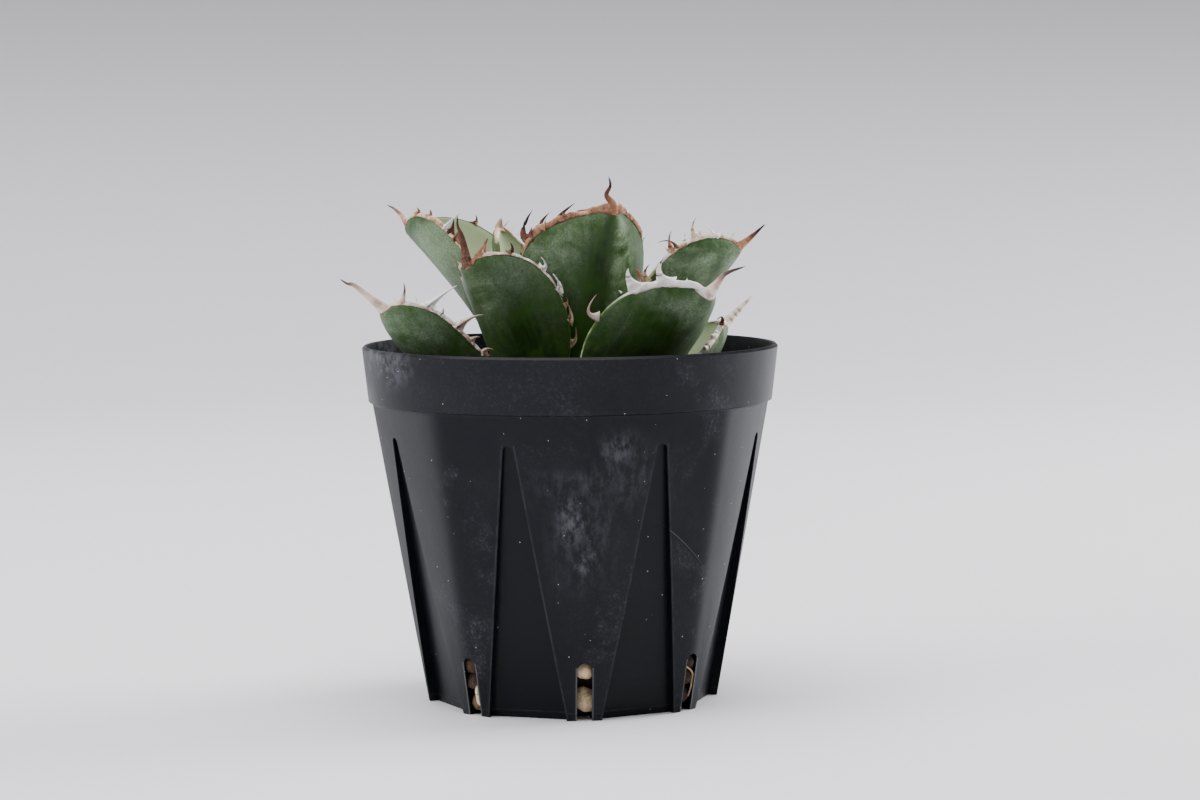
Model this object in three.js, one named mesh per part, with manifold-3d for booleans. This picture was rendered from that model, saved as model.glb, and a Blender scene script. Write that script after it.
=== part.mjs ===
// A small spiny agave in a black slit nursery pot, in millimetres, +Z up.
// The pot's axis is the Z axis, its floor lies on Z = 0, and one slit faces -Y, the front.
// Every leaf is one solid blade. Its horny margin, with the teeth and the end spine, is another.
import * as THREE from 'three';
import { mergeVertices } from 'three/addons/utils/BufferGeometryUtils.js';
import Module from 'manifold-3d';

const wasm = await Module();
wasm.setup();

// ---------------------------------------------------------------- driving dimensions
const GAP = 0.3;                     // air between two pieces that rest on each other

const POT_HEIGHT = 77;
const RIM_RADIUS = 45;               // a 90 mm pot
const COLLAR_HEIGHT = 12.2;          // the plain band under the rim
const COLLAR_FOOT_RADIUS = 43.7;
const COLLAR_STEP = 0.8;             // the body steps in under the collar
const FLOOR_RADIUS = 31.5;
const WALL = 1.0;
const FLOOR_THICKNESS = 1.4;
const POT_SIDES = 48;
const SOIL_SIDES = 32;
const SLIT_COUNT = 8;
const SLIT_WIDTH = 3.2;
const SLIT_TOP = 12.5;
const SLIT_IN_FLOOR = 6;             // how far a slit runs into the floor
const FLAT_TOP = 60.1;               // the eight sunk flats between the slits reach this high
const FLAT_FOOT_RADIUS = 28.4;       // distance of a flat from the axis at the floor
const FLAT_TIP_DEPTH = 0.8;
const FLAT_TIP_WIDTH = 2.2;
const FLAT_FOOT_WIDTH = 17.2;

const SOIL_LEVEL = 62;
const SOIL_CROWN = 1.2;              // the soil rises this much towards the stem
const SOIL_CROWN_RADIUS = 22;        // where that rise starts
const LUMP_HEIGHT = 1.6;             // the coarse grit's lumps, from hollow to top
const LUMP_SPACING = 5.2;            // between a hollow and the next lump
const STEM_RADIUS = 8.8;
const STEM_TOP_RADIUS = 2.4;
const STEM_FOOT = 48;
const STEM_SHOULDER = 62;
const STEM_TOP = 75;
const STEM_SIDES = 20;
const BUD_RADIUS = 3.6;
const BUD_TIP = 99;
const BUD_SIDES = 8;

const EDGE_THICKNESS = 1.2;          // of a blade, at its edge
const TIP_RATIO = 0.10;              // half-width of a blade's tip over its greatest half-width
const BLADE_STEPS = 10;              // faces along a blade
const BLADE_FACES = 6;               // faces across a blade
const BAND_WIDTH = 0.9;              // the horny margin
const BAND_THICKNESS = 1.5;
const BLADE_INSET = 0.4;             // the blade stops this far short of the leaf's outline
const TOOTH_THICKNESS = 0.62;        // half the thickness of a tooth's root
const RULED_SPACING = 0.14;          // of the teeth on hidden edges, as a share of the leaf
const RULED_LENGTH = 1.6;            // their least length

// One row for each leaf, the outer ones first. heading: degrees from the front, to the right;
// foot and tip: distance from the axis, and height; bow: how far the midrib sags; half: greatest
// half-width; widest: where that is along the leaf; waist: half-width at the foot over the
// greatest; thick: at the keel; cup: how far the edges curl up; roll: degrees about the midrib.
// end: how full and how round its outer part is. band: where the horny margin starts along the
// leaf. spine: where the end spine passes, in mm along, above and across from the tip. teeth:
// [side, place along the leaf, length, lean in degrees towards the tip, hook], side 1 being the
// leaf's right side seen from outside the plant. ruled: the sides whose teeth are set by rule
// instead, because no other view gives them.
const LEAVES = [
  { name: 'front_right_low', heading: 52, foot: [9.0, 63.2], tip: [34.7, 89.0], bow: -0.01,
    half: 15.7, widest: 0.48, waist: 0.50, thick: 4.0, cup: 0.58, roll: -10, band: 0.2,
    spine: [[3, 0.1, 0], [6.1, 0.2, -0.1], [10.6, -1.6, 0.9]], spineRoot: 1.9, ruled: [1],
    teeth: [[-1, 0.56, 5.4, 52, -0.5], [-1, 0.81, 5.1, 36, 0.1], [-1, 0.925, 6.3, 56, 0.1],
      [-1, 0.985, 1.6, 40, 0]] },
  { name: 'front_left_mid', heading: -55, foot: [10.7, 64.4], tip: [28.0, 95.2], bow: -0.12,
    half: 10.6, widest: 0.50, waist: 0.54, thick: 3.5, cup: 0.73, roll: 21, band: 0.2,
    spine: [[5.3, 2.9, 2.8], [7.8, 3.8, 3.6], [9.8, 5.1, 4.9]], spineRoot: 1.7, ruled: [-1],
    teeth: [[1, 0.98, 3.9, 20, 0.3], [1, 0.88, 2.4, 55, 0], [1, 0.72, 2.6, 62, -0.5],
      [1, 0.57, 4.4, 84, 0], [1, 0.50, 1.6, 60, 0], [1, 0.42, 4.1, 70, 0.2],
      [1, 0.31, 3.7, 55, -0.2]] },
  { name: 'left_low', heading: -71, foot: [9.9, 63.2], tip: [42.2, 86.2], bow: 0.05,
    half: 8.3, widest: 0.67, waist: 0.55, thick: 4.0, cup: 0.51, roll: 22, band: 0.3,
    spine: [[3.4, -0.6, -0.4], [8.5, -1.6, -1.1], [11.5, -2.7, -1.9]], spineRoot: 1.7, ruled: [-1],
    teeth: [[1, 0.97, 4.4, 48, 0.4], [1, 0.87, 8.2, -6, 0], [1, 0.79, 1.4, 37, 0],
      [1, 0.67, 6.1, -20, 0], [1, 0.56, 2.0, -32, 0], [1, 0.45, 2.2, -33, 0.4]] },
  { name: 'right_back_low', heading: 113, foot: [9.6, 62.9], tip: [37.8, 80.3], bow: 0.11,
    half: 9.8, widest: 0.58, waist: 0.50, thick: 4.0, cup: 0.47, roll: -4, band: 0.3,
    spine: [[4.1, -1.2, -0.5], [9.3, -2.4, -1.0]], spineRoot: 1.4, ruled: [1],
    teeth: [[-1, 0.95, 4.6, -14, 0.6], [-1, 0.82, 2.6, -16, 0], [-1, 0.70, 2.4, -18, 0]] },
  { name: 'back_low', heading: -168, foot: [9.6, 63.0], tip: [36.0, 84.5], bow: 0.08,
    half: 10.5, widest: 0.60, waist: 0.50, thick: 3.8, cup: 0.45, roll: 0, band: 0.3,
    spine: [[4.5, -0.6, 0.3], [9.0, -2.0, 0.9]], spineRoot: 1.6, ruled: [-1, 1], teeth: [] },
  { name: 'front_inner', heading: 36, foot: [2.4, 69.9], tip: [13.9, 105.8], bow: -0.02,
    half: 15.5, widest: 0.53, waist: 0.50, thick: 3.0, cup: 0.56, roll: -8, band: 0.25,
    end: [3.0, 1.1], spine: [[1.8, 0.3, -0.4], [3.4, 1.2, -1.9], [5.6, 1.1, -1.6], [7.6, 1.6, -2.3]],
    spineRoot: 1.6, ruled: [],
    teeth: [[-1, 0.97, 3.0, -15, 0], [-1, 0.90, 4.8, 112, -0.3], [-1, 0.83, 3.9, 98, -0.2],
      [-1, 0.765, 6.4, 80, -0.3], [1, 0.96, 1.8, 10, 0], [1, 0.90, 1.8, 30, 0],
      [1, 0.80, 2.2, 22, 0]] },
  { name: 'right_mid', heading: 85, foot: [7.6, 67.1], tip: [36.2, 98.2], bow: -0.03,
    half: 15.0, widest: 0.62, waist: 0.50, thick: 3.4, cup: 0.47, roll: -16, band: 0.3,
    spine: [[3.5, -0.2, 0.1], [7.7, -0.1, 0]], spineRoot: 1.8, ruled: [1],
    teeth: [[-1, 0.77, 4.9, -28, 0.2], [-1, 0.74, 5.0, 40, 0.2], [-1, 0.87, 5.0, 40, 0],
      [-1, 0.95, 2.7, 0, 0], [-1, 0.82, 1.4, 37, 0], [-1, 0.55, 4.2, 56, 0.2],
      [-1, 0.53, 5.2, 18, 0.3]] },
  { name: 'left_mid', heading: -119, foot: [7.3, 65.3], tip: [38.7, 102.5], bow: -0.07,
    half: 13.0, widest: 0.61, waist: 0.48, thick: 3.0, cup: 0.80, roll: 5, band: 0.3,
    spine: [[3.0, 1.1, -0.3], [5.5, 1.3, -0.3], [7.4, 1.0, -0.2]], spineRoot: 1.5, ruled: [-1],
    teeth: [[1, 0.87, 1.8, 26, 0], [1, 0.80, 9.0, -18, -0.1], [1, 0.75, 4.0, 13, 0],
      [1, 0.70, 3.2, -5, 0.3], [1, 0.94, 1.6, 40, 0]] },
  { name: 'back_mid', heading: 166, foot: [7.8, 66.8], tip: [27.5, 97.5], bow: 0.02,
    half: 9.6, widest: 0.58, waist: 0.50, thick: 3.4, cup: 0.45, roll: 0, band: 0.3,
    spine: [[4.0, 0.4, 0.3], [8.0, -0.5, 0.9]], spineRoot: 1.6, ruled: [-1, 1], teeth: [] },
  { name: 'back_left_inner', heading: -136, foot: [5.0, 72.2], tip: [20.1, 101.7], bow: 0.04,
    half: 5.4, widest: 0.58, waist: 0.60, thick: 3.2, cup: 0.51, roll: 1, band: 0.35,
    spine: [[1.2, 0.4, -0.3], [2.4, 1.0, -0.8]], spineRoot: 1.2, ruled: [-1, 1], teeth: [] },
  { name: 'right_inner', heading: 120, foot: [4.6, 71.5], tip: [15.5, 97.5], bow: 0.03,
    half: 7.4, widest: 0.58, waist: 0.55, thick: 2.8, cup: 0.50, roll: 0, band: 0.35,
    spine: [[3.5, 0.4, 0.3], [6.5, 0.2, 0.5]], spineRoot: 1.3, ruled: [-1, 1], teeth: [] },
  { name: 'left_inner', heading: -62, foot: [4.4, 72.5], tip: [11.5, 93.0], bow: 0.03,
    half: 5.2, widest: 0.58, waist: 0.60, thick: 2.4, cup: 0.50, roll: 0, band: 0.35,
    spine: [[2.5, 0.4, 0.3], [4.5, 0.4, 0.5]], spineRoot: 1.1, ruled: [-1, 1], teeth: [] },
];

// ---------------------------------------------------------------- solids from three.js shapes
// The geometry with one vertex wherever several meet.
function joined(geometry) {
  const bare = geometry.clone();
  bare.deleteAttribute('normal');
  bare.deleteAttribute('uv');
  return mergeVertices(bare, 1e-4);
}

function toSolid(geometry) {
  const merged = joined(geometry);
  return new wasm.Manifold(new wasm.Mesh({
    numProp: 3,
    vertProperties: new Float32Array(merged.attributes.position.array),
    triVerts: new Uint32Array(merged.index.array),
  }));
}

function toGeometry(solid) {
  const mesh = solid.getMesh();
  const geometry = new THREE.BufferGeometry();
  geometry.setAttribute('position', new THREE.BufferAttribute(mesh.vertProperties, 3));
  geometry.setIndex(new THREE.BufferAttribute(mesh.triVerts, 1));
  return geometry;
}

// Moves every vertex of a geometry by a rule from its old place to its new one.
function reshape(geometry, rule) {
  const position = geometry.attributes.position;
  const point = new THREE.Vector3();
  for (let i = 0; i < position.count; i += 1) {
    const moved = rule(point.fromBufferAttribute(position, i));
    position.setXYZ(i, moved.x, moved.y, moved.z);
  }
  return geometry;
}

const largest = (solid) => solid.decompose().sort((a, b) => b.volume() - a.volume())[0];
const unite = (solids) => solids.reduce((whole, solid) => whole.add(solid));
const lathe = (pairs, sides) => new THREE.LatheGeometry(
  pairs.map(([r, z]) => new THREE.Vector2(r, z)), sides).rotateX(Math.PI / 2);

// A repeatable random number from 0 to 1.
function randomFrom(seed) {
  let state = seed;
  return () => {
    state = (state * 16807) % 2147483647;
    return state / 2147483647;
  };
}

// ---------------------------------------------------------------- the leaf's shape
const UP = new THREE.Vector3(0, 0, 1);

// Half-width of a leaf at s, from 0 at its foot to 1 at its tip.
function halfWidth(leaf, s) {
  if (s < leaf.widest) {
    const rise = Math.sin((Math.PI / 2) * (s / leaf.widest));
    return leaf.half * (leaf.waist + (1 - leaf.waist) * rise);
  }
  const x = Math.min(1, (s - leaf.widest) / (1 - leaf.widest));
  const [fullness, roundness] = leaf.end ?? [2.3, 0.72];
  return leaf.half * (TIP_RATIO + (1 - TIP_RATIO) * (1 - x ** fullness) ** roundness);
}

// The point of the midrib at s, with the leaf's own directions there.
function station(leaf, s) {
  const angle = THREE.MathUtils.degToRad(leaf.heading);
  const outward = new THREE.Vector3(Math.sin(angle), -Math.cos(angle), 0);
  const side = new THREE.Vector3(Math.cos(angle), Math.sin(angle), 0);
  const foot = new THREE.Vector2(...leaf.foot);
  const tip = new THREE.Vector2(...leaf.tip);
  const chord = tip.clone().sub(foot);
  const sag = new THREE.Vector2(chord.y, -chord.x).multiplyScalar(2 * leaf.bow);
  const middle = foot.clone().add(tip).multiplyScalar(0.5).add(sag);
  const midrib = new THREE.QuadraticBezierCurve(foot, middle, tip);
  const p = midrib.getPoint(s);
  const t = midrib.getTangent(s);
  const along = outward.clone().multiplyScalar(t.x).addScaledVector(UP, t.y);
  const flat = outward.clone().multiplyScalar(-t.y).addScaledVector(UP, t.x);
  const roll = THREE.MathUtils.degToRad(leaf.roll);
  const across = side.clone().multiplyScalar(Math.cos(roll)).addScaledVector(flat, Math.sin(roll));
  const above = flat.multiplyScalar(Math.cos(roll)).addScaledVector(side, -Math.sin(roll));
  return { point: outward.multiplyScalar(p.x).addScaledVector(UP, p.y), along, above, across };
}

// The blade's upper face at s and u (from -1 to 1 across), narrowed by inset, with the direction
// square to the face there.
function upperFace(leaf, s, u, inset) {
  const at = station(leaf, s);
  const steepness = leaf.cup * (0.35 + 0.65 * s);
  const width = halfWidth(leaf, s) - inset;
  const slope = 2 * steepness * u;
  const point = at.point.clone().addScaledVector(at.across, width * u)
    .addScaledVector(at.above, steepness * width * u * u);
  const square = at.above.clone().addScaledVector(at.across, -slope).normalize();
  return { point, square, along: at.along };
}

function keelThickness(leaf, s, u) {
  const taper = Math.min(1, 0.55 + 1.5 * s) * (1 - 0.55 * s ** 1.6);
  const flesh = leaf.thick * taper * Math.sqrt(halfWidth(leaf, s) / leaf.half);
  return EDGE_THICKNESS + flesh * (1 - Math.abs(u) ** 1.7);
}

const placeAlong = (step) => 1 - (1 - step / BLADE_STEPS) ** 1.5;

// A box bent to the leaf. grow fattens it, for cutting its clearance out of a neighbour.
function bladeGeometry(leaf, grow = 0) {
  const box = new THREE.BoxGeometry(2, BLADE_STEPS, 1, BLADE_FACES, BLADE_STEPS, 1);
  return reshape(box, (p) => {
    const step = Math.round(p.y + BLADE_STEPS / 2);
    const s = placeAlong(step);
    const face = upperFace(leaf, s, -p.x, BLADE_INSET - grow);
    const lift = p.z > 0 ? grow : -keelThickness(leaf, s, p.x) - grow;
    const reach = (step === BLADE_STEPS ? grow - BLADE_INSET : 0) - (step === 0 ? 2 + grow : 0);
    return face.point.addScaledVector(face.square, lift).addScaledVector(face.along, reach);
  });
}

// The middle of the blade's edge face at s, with the directions out of it, along it and above it.
function edge(leaf, s, side) {
  const face = upperFace(leaf, s, side, BLADE_INSET);
  const out = face.square.clone().cross(face.along).multiplyScalar(side).normalize();
  const point = face.point.clone().addScaledVector(face.square, -EDGE_THICKNESS / 2);
  return { point, out, along: face.along, above: face.square };
}

// The margin: a box bent along one edge, round the tip and down the other edge.
function bandGeometry(leaf, grow = 0) {
  const first = Math.ceil(BLADE_STEPS * (1 - (1 - leaf.band) ** (1 / 1.5)));
  const perSide = BLADE_STEPS - first;
  const steps = 2 * perSide + 2;
  const box = new THREE.BoxGeometry(1, steps, 1, 1, steps, 1);
  return reshape(box, (p) => {
    const step = Math.round(p.y + steps / 2);
    const fromTip = Math.abs(step - steps / 2) - 1;
    const side = Math.sign(step - steps / 2) || 1;
    const atTip = fromTip < 0;
    const s = placeAlong(BLADE_STEPS - Math.max(0, fromTip));
    const rim = edge(leaf, s, side);
    const turn = (Math.PI / 2) * (atTip ? 1 : Math.max(0, 1 - fromTip / 3) * 0.6);
    const outward = rim.out.clone().multiplyScalar(Math.cos(turn))
      .addScaledVector(rim.along, Math.sin(turn));
    const start = atTip ? upperFace(leaf, 1, 0, 0).point.addScaledVector(rim.above,
      -EDGE_THICKNESS / 2) : rim.point;
    const taper = fromTip === perSide ? 0.5 : 1;
    const width = p.x > 0 ? GAP + BAND_WIDTH * taper + grow : GAP - grow;
    const height = (BAND_THICKNESS / 2 * taper + grow) * Math.sign(p.z);
    return start.addScaledVector(outward, width).addScaledVector(rim.above, height);
  });
}

// A thorn: a cone bent along a curve through the given points, its root face square to it.
function thornGeometry(points, sideways, root, thickness, rings, sides) {
  const curve = points.length === 3 ? new THREE.QuadraticBezierCurve3(...points)
    : new THREE.CatmullRomCurve3(points);
  const cone = new THREE.ConeGeometry(1, rings, sides, rings);
  return reshape(cone, (p) => {
    const t = Math.min(1, Math.max(0, p.y / rings + 0.5));
    const ahead = curve.getTangent(Math.min(t, 0.98));
    const thin = sideways.clone().cross(ahead).normalize();
    const wide = ahead.clone().cross(thin).normalize();
    return curve.getPoint(t).addScaledVector(wide, p.x * root).addScaledVector(thin, p.z * thickness);
  });
}

function tooth(leaf, [side, place, length, lean, hook]) {
  const rim = edge(leaf, place, side);
  const start = rim.point.clone().addScaledVector(rim.out, GAP + 0.1);
  const angle = THREE.MathUtils.degToRad(lean);
  const tip = start.clone().addScaledVector(rim.out, Math.cos(angle) * length)
    .addScaledVector(rim.along, Math.sin(angle) * length);
  const bend = start.clone().addScaledVector(rim.out, 0.6 * length)
    .addScaledVector(rim.along, hook * length);
  const root = 0.7 + 0.13 * length;
  const rings = length > 3.5 ? 3 : 2;
  return thornGeometry([start, bend, tip], rim.along, root, TOOTH_THICKNESS, rings, rings + 2);
}

function endSpine(leaf) {
  const at = station(leaf, 1);
  const root = at.point.clone().addScaledVector(at.above, -EDGE_THICKNESS / 2);
  const places = [[0, 0, 0], ...leaf.spine].map(([along, above, across]) => root.clone()
    .addScaledVector(at.along, along).addScaledVector(at.above, above)
    .addScaledVector(at.across, across));
  return thornGeometry(places, at.across, leaf.spineRoot, leaf.spineRoot * 0.8, 5, 6);
}

// Teeth of an edge that is set by rule: shorter ones, spaced by seeded draws.
function ruledTeeth(leaf, side, seed) {
  const random = randomFrom(seed);
  const teeth = [];
  for (let place = leaf.band + 0.2; place < 0.95; place += RULED_SPACING + 0.05 * random()) {
    const length = RULED_LENGTH + 2.2 * random();
    teeth.push([side, place, length, 20 + 50 * random(), 0.4 * random() - 0.2]);
  }
  return teeth;
}

function allTeeth(leaf, index) {
  const ruled = leaf.ruled.flatMap((side) => ruledTeeth(leaf, side, 977 * (index + 1) + side));
  return [...leaf.teeth, ...ruled];
}

function marginSolid(leaf, index) {
  const thorns = allTeeth(leaf, index).map((row) => toSolid(tooth(leaf, row)));
  return unite([toSolid(bandGeometry(leaf)), toSolid(endSpine(leaf)), ...thorns]);
}

// ---------------------------------------------------------------- stem and bud
function stemProfile(grow) {
  return [[0, STEM_FOOT - grow], [STEM_RADIUS * 0.8 + grow, STEM_FOOT - grow],
    [STEM_RADIUS + grow, STEM_SHOULDER - 6], [STEM_RADIUS + grow, STEM_SHOULDER],
    [STEM_TOP_RADIUS + 3 + grow, STEM_TOP - 5], [STEM_TOP_RADIUS + grow, STEM_TOP + grow],
    [0, STEM_TOP + grow]];
}

// The closed young leaves in the middle, an upright spindle on top of the stem.
function budSolid() {
  const height = BUD_TIP - STEM_TOP - GAP;
  const outline = [[0, 0], [1.6, 0], [BUD_RADIUS * 0.85, height * 0.3], [BUD_RADIUS, height * 0.5],
    [BUD_RADIUS * 0.8, height * 0.7], [BUD_RADIUS * 0.3, height * 0.85], [0.5, height * 0.93],
    [0, height]];
  return toSolid(lathe(outline, BUD_SIDES).translate(0, 0, STEM_TOP + GAP));
}

// ---------------------------------------------------------------- pot and soil
const bodyTop = POT_HEIGHT - COLLAR_HEIGHT;
const bodyTopRadius = COLLAR_FOOT_RADIUS - COLLAR_STEP;
const coneRadius = (z) => FLOOR_RADIUS + (bodyTopRadius - FLOOR_RADIUS) * (z / bodyTop);

function potOutside() {
  return toSolid(lathe([[0, 0], [FLOOR_RADIUS - 0.6, 0], [coneRadius(0.8), 0.8],
    [bodyTopRadius, bodyTop], [COLLAR_FOOT_RADIUS, bodyTop + 0.2],
    [RIM_RADIUS, POT_HEIGHT - 0.4], [RIM_RADIUS - 0.35, POT_HEIGHT], [0, POT_HEIGHT]], POT_SIDES));
}

function potInside(clear, top, sides) {
  const inset = WALL + clear;
  return toSolid(lathe([[0, FLOOR_THICKNESS + clear], [coneRadius(0) - inset - 0.5,
    FLOOR_THICKNESS + clear], [coneRadius(3) - inset, 3 + clear], [bodyTopRadius - inset, bodyTop],
    [COLLAR_FOOT_RADIUS - inset, bodyTop + 1],
    ...(top ? [[RIM_RADIUS - inset, POT_HEIGHT], [RIM_RADIUS - inset, top], [0, top]]
      : [[0, bodyTop + 1]])], sides));
}

// The wedge that is cut away in front of one sunk flat, its outline grown by grow.
function flatCutter(index, grow) {
  const half = FLAT_FOOT_WIDTH / 2 + grow;
  const tip = FLAT_TIP_WIDTH / 2 + grow;
  const tipCentre = FLAT_TOP - FLAT_TIP_WIDTH / 2;
  const outline = new THREE.Shape();
  outline.moveTo(-half * 1.03, -2);
  outline.lineTo(half * 1.03, -2);
  outline.lineTo(tip, tipCentre);
  outline.absarc(0, tipCentre, tip, 0, Math.PI, false);
  const flat = { depth: 12, bevelEnabled: false, curveSegments: 3 };
  const wedge = new THREE.ExtrudeGeometry(outline, flat);
  const topRadius = coneRadius(FLAT_TOP) - FLAT_TIP_DEPTH;
  const tilt = Math.atan2(topRadius - FLAT_FOOT_RADIUS, FLAT_TOP);
  wedge.rotateX(Math.PI / 2 + tilt).translate(0, -FLAT_FOOT_RADIUS + grow, 0);
  return toSolid(wedge.rotateZ((index + 0.5) * (2 * Math.PI / SLIT_COUNT)));
}

function slitCutter(index) {
  const half = SLIT_WIDTH / 2;
  const outline = new THREE.Shape();
  outline.moveTo(-half, -2);
  outline.lineTo(half, -2);
  outline.lineTo(half, SLIT_TOP - half);
  outline.absarc(0, SLIT_TOP - half, half, 0, Math.PI, false);
  const slot = { depth: 12, bevelEnabled: false, curveSegments: 6 };
  const bar = new THREE.ExtrudeGeometry(outline, slot);
  bar.rotateX(Math.PI / 2).translate(0, -(FLOOR_RADIUS - SLIT_IN_FLOOR), 0);
  return toSolid(bar.rotateZ(index * (2 * Math.PI / SLIT_COUNT)));
}

const rows = [...Array(SLIT_COUNT).keys()];
const cutAll = (solid, cutters) => cutters.reduce((left, cutter) => left.subtract(cutter), solid);

function potSolid() {
  const outside = cutAll(potOutside(), rows.map((i) => flatCutter(i, 0)));
  const inside = cutAll(potInside(0, POT_HEIGHT + 2, POT_SIDES), rows.map((i) => flatCutter(i, WALL)));
  return cutAll(outside.subtract(inside), rows.map(slitCutter));
}

// The soil's surface, lumpy with coarse grit, as the top of a wide disc.
function soilSurface() {
  const random = randomFrom(1201);
  const rings = [];
  for (let r = 60; r > STEM_RADIUS; r -= r > 43 ? 17 : LUMP_SPACING) rings.push(r);
  const outline = [[0, -5], [60, -5], ...rings.map((r) => [r, SOIL_LEVEL]), [0, SOIL_LEVEL]];
  return reshape(joined(lathe(outline, SOIL_SIDES)), (p) => {
    const r = Math.hypot(p.x, p.y);
    if (p.z < 0) return p;
    const slope = (SOIL_CROWN_RADIUS - r) / (SOIL_CROWN_RADIUS - STEM_RADIUS - 2);
    const rise = THREE.MathUtils.clamp(slope, 0, 1);
    const lump = r > 1 && r < 43 ? LUMP_HEIGHT * (random() - 0.5) : 0;
    return p.setZ(SOIL_LEVEL + SOIL_CROWN * rise + lump);
  });
}

function soilSolid(stemRoom, bladeRooms) {
  const core = cutAll(potInside(GAP, 0, SOIL_SIDES), rows.map((i) => flatCutter(i, WALL + GAP)));
  const surface = toSolid(soilSurface());
  return largest(cutAll(core.intersect(surface), [stemRoom, ...bladeRooms]));
}

// ---------------------------------------------------------------- the assembly
const LOOKS = {
  pot: { color: 0x2b2d31, roughness: 0.5, metalness: 0 },
  soil: { color: 0x8b6f4c, roughness: 0.95, metalness: 0 },
  stem: { color: 0xa79a72, roughness: 0.8, metalness: 0 },
  blade: { color: 0x3f5f3d, roughness: 0.6, metalness: 0 },
  horn: { color: 0xc9b8a4, roughness: 0.65, metalness: 0 },
};

const plant = new THREE.Group();

function addPiece(name, solid, look) {
  const mesh = new THREE.Mesh(toGeometry(solid), new THREE.MeshStandardMaterial(LOOKS[look]));
  mesh.name = name;
  plant.add(mesh);
}

const stemRoom = toSolid(lathe(stemProfile(GAP), STEM_SIDES));
const rooms = LEAVES.map((leaf) => toSolid(bladeGeometry(leaf, GAP + 0.05)));
const marginRooms = LEAVES.map((leaf) => toSolid(bandGeometry(leaf, GAP)));

// A blade keeps clear of the stem and of the blades and margins outside it.
function bladeSolid(leaf, index) {
  const outer = [...rooms.slice(0, index), ...marginRooms.slice(0, index)];
  return largest(cutAll(toSolid(bladeGeometry(leaf)), [stemRoom, ...outer]));
}

// A margin keeps clear of its own blade, of every other blade and of the margins outside it.
function clearMargin(leaf, index) {
  const ownRoom = toSolid(bladeGeometry(leaf, 0.1));
  const blades = rooms.map((room, i) => (i === index ? ownRoom : room));
  return largest(cutAll(marginSolid(leaf, index), [...blades, ...marginRooms.slice(0, index)]));
}

addPiece('pot', potSolid(), 'pot');
addPiece('soil', soilSolid(stemRoom, rooms), 'soil');
addPiece('stem', toSolid(lathe(stemProfile(0), STEM_SIDES)), 'stem');
addPiece('bud', budSolid(), 'blade');
LEAVES.forEach((leaf, index) => {
  addPiece(`leaf_${leaf.name}`, bladeSolid(leaf, index), 'blade');
  addPiece(`margin_${leaf.name}`, clearMargin(leaf, index), 'horn');
});

export default plant;
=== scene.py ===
# %% [markdown]
# # A small spiny agave in a black slit pot
# The real thing is a young agave, about a hand high, in a 90 mm nursery pot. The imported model
# gives every piece its place and its main shape in plain facets. This lesson dresses each piece:
# a smooth pot with thin slits, grit that shows through them, fleshy blades with their grey bloom,
# and horny margins with hooked teeth. All sizes are in metres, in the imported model's own frame.

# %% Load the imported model
import math

import bmesh
import bpy
from mathutils import Matrix, Vector, noise


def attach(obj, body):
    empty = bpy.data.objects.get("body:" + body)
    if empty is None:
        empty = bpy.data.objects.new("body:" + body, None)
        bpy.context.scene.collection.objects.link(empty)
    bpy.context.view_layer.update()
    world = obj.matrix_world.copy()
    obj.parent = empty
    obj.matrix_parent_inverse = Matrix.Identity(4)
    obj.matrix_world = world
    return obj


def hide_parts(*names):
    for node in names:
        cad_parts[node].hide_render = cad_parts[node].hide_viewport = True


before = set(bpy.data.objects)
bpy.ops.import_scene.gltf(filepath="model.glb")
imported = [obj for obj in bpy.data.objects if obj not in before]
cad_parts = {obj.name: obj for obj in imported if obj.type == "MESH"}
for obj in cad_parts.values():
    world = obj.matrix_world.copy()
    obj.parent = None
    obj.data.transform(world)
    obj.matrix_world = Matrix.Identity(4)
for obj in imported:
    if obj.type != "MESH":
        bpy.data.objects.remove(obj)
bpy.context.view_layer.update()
MM = 0.001

# %% [markdown]
# ## The camera
# The photograph was taken from a little above the rim with a long lens, so the pot's sides lean
# in only by their own taper. A camera object looks along its own -Z, so it is first tipped up to
# the level and then turned, which is easier to read than one matrix of numbers.

# %% Set up the camera
CAMERA_DISTANCE = 0.6851
CAMERA_HEIGHT = 0.1209
CAMERA_SIDE = math.radians(-4.406)     # to the left of the pot's front
CAMERA_TURN = math.radians(0.537)      # aimed a little to the right of the pot's axis
CAMERA_DIP = math.radians(4.690)
CAMERA_ROLL = math.radians(-0.405)

camera = bpy.data.objects.new("camera", bpy.data.cameras.new("camera"))
camera.data.lens = 95
camera.data.sensor_width = 36
camera.data.clip_start = 0.01
bpy.context.collection.objects.link(camera)
place = Matrix.Translation((CAMERA_DISTANCE * math.sin(CAMERA_SIDE),
                            -CAMERA_DISTANCE * math.cos(CAMERA_SIDE), CAMERA_HEIGHT))
camera.matrix_world = (place @ Matrix.Rotation(CAMERA_SIDE - CAMERA_TURN, 4, "Z")
                       @ Matrix.Rotation(math.pi / 2 - CAMERA_DIP, 4, "X")
                       @ Matrix.Rotation(CAMERA_ROLL, 4, "Z"))
bpy.context.scene.camera = camera
print("camera stands at", [round(v, 3) for v in camera.matrix_world.translation])

# %% [markdown]
# ## Helpers for shapes
# A piece is drawn as a bmesh, turned into an object whose origin is the world's, tied to the one
# rigid body, and the imported node it stands for is hidden. Long tapering shapes, such as a tooth,
# a root or the margin, are all extruded the same way: the cap of a circle is extruded again and
# again, and each new ring of corners is moved to its place.

# %% Piece, loft and rounding helpers
def add_piece(name, bm, finish, slot, stands_for=()):
    mesh = bpy.data.meshes.new(name)
    bm.to_mesh(mesh)
    bm.free()
    mesh.shade_smooth()
    mesh.materials.append(finish)
    piece = bpy.data.objects.new(name, mesh)
    bpy.context.collection.objects.link(piece)
    if slot:
        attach(piece, "root")
    if stands_for:
        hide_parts(*stands_for)
    return piece


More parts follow.
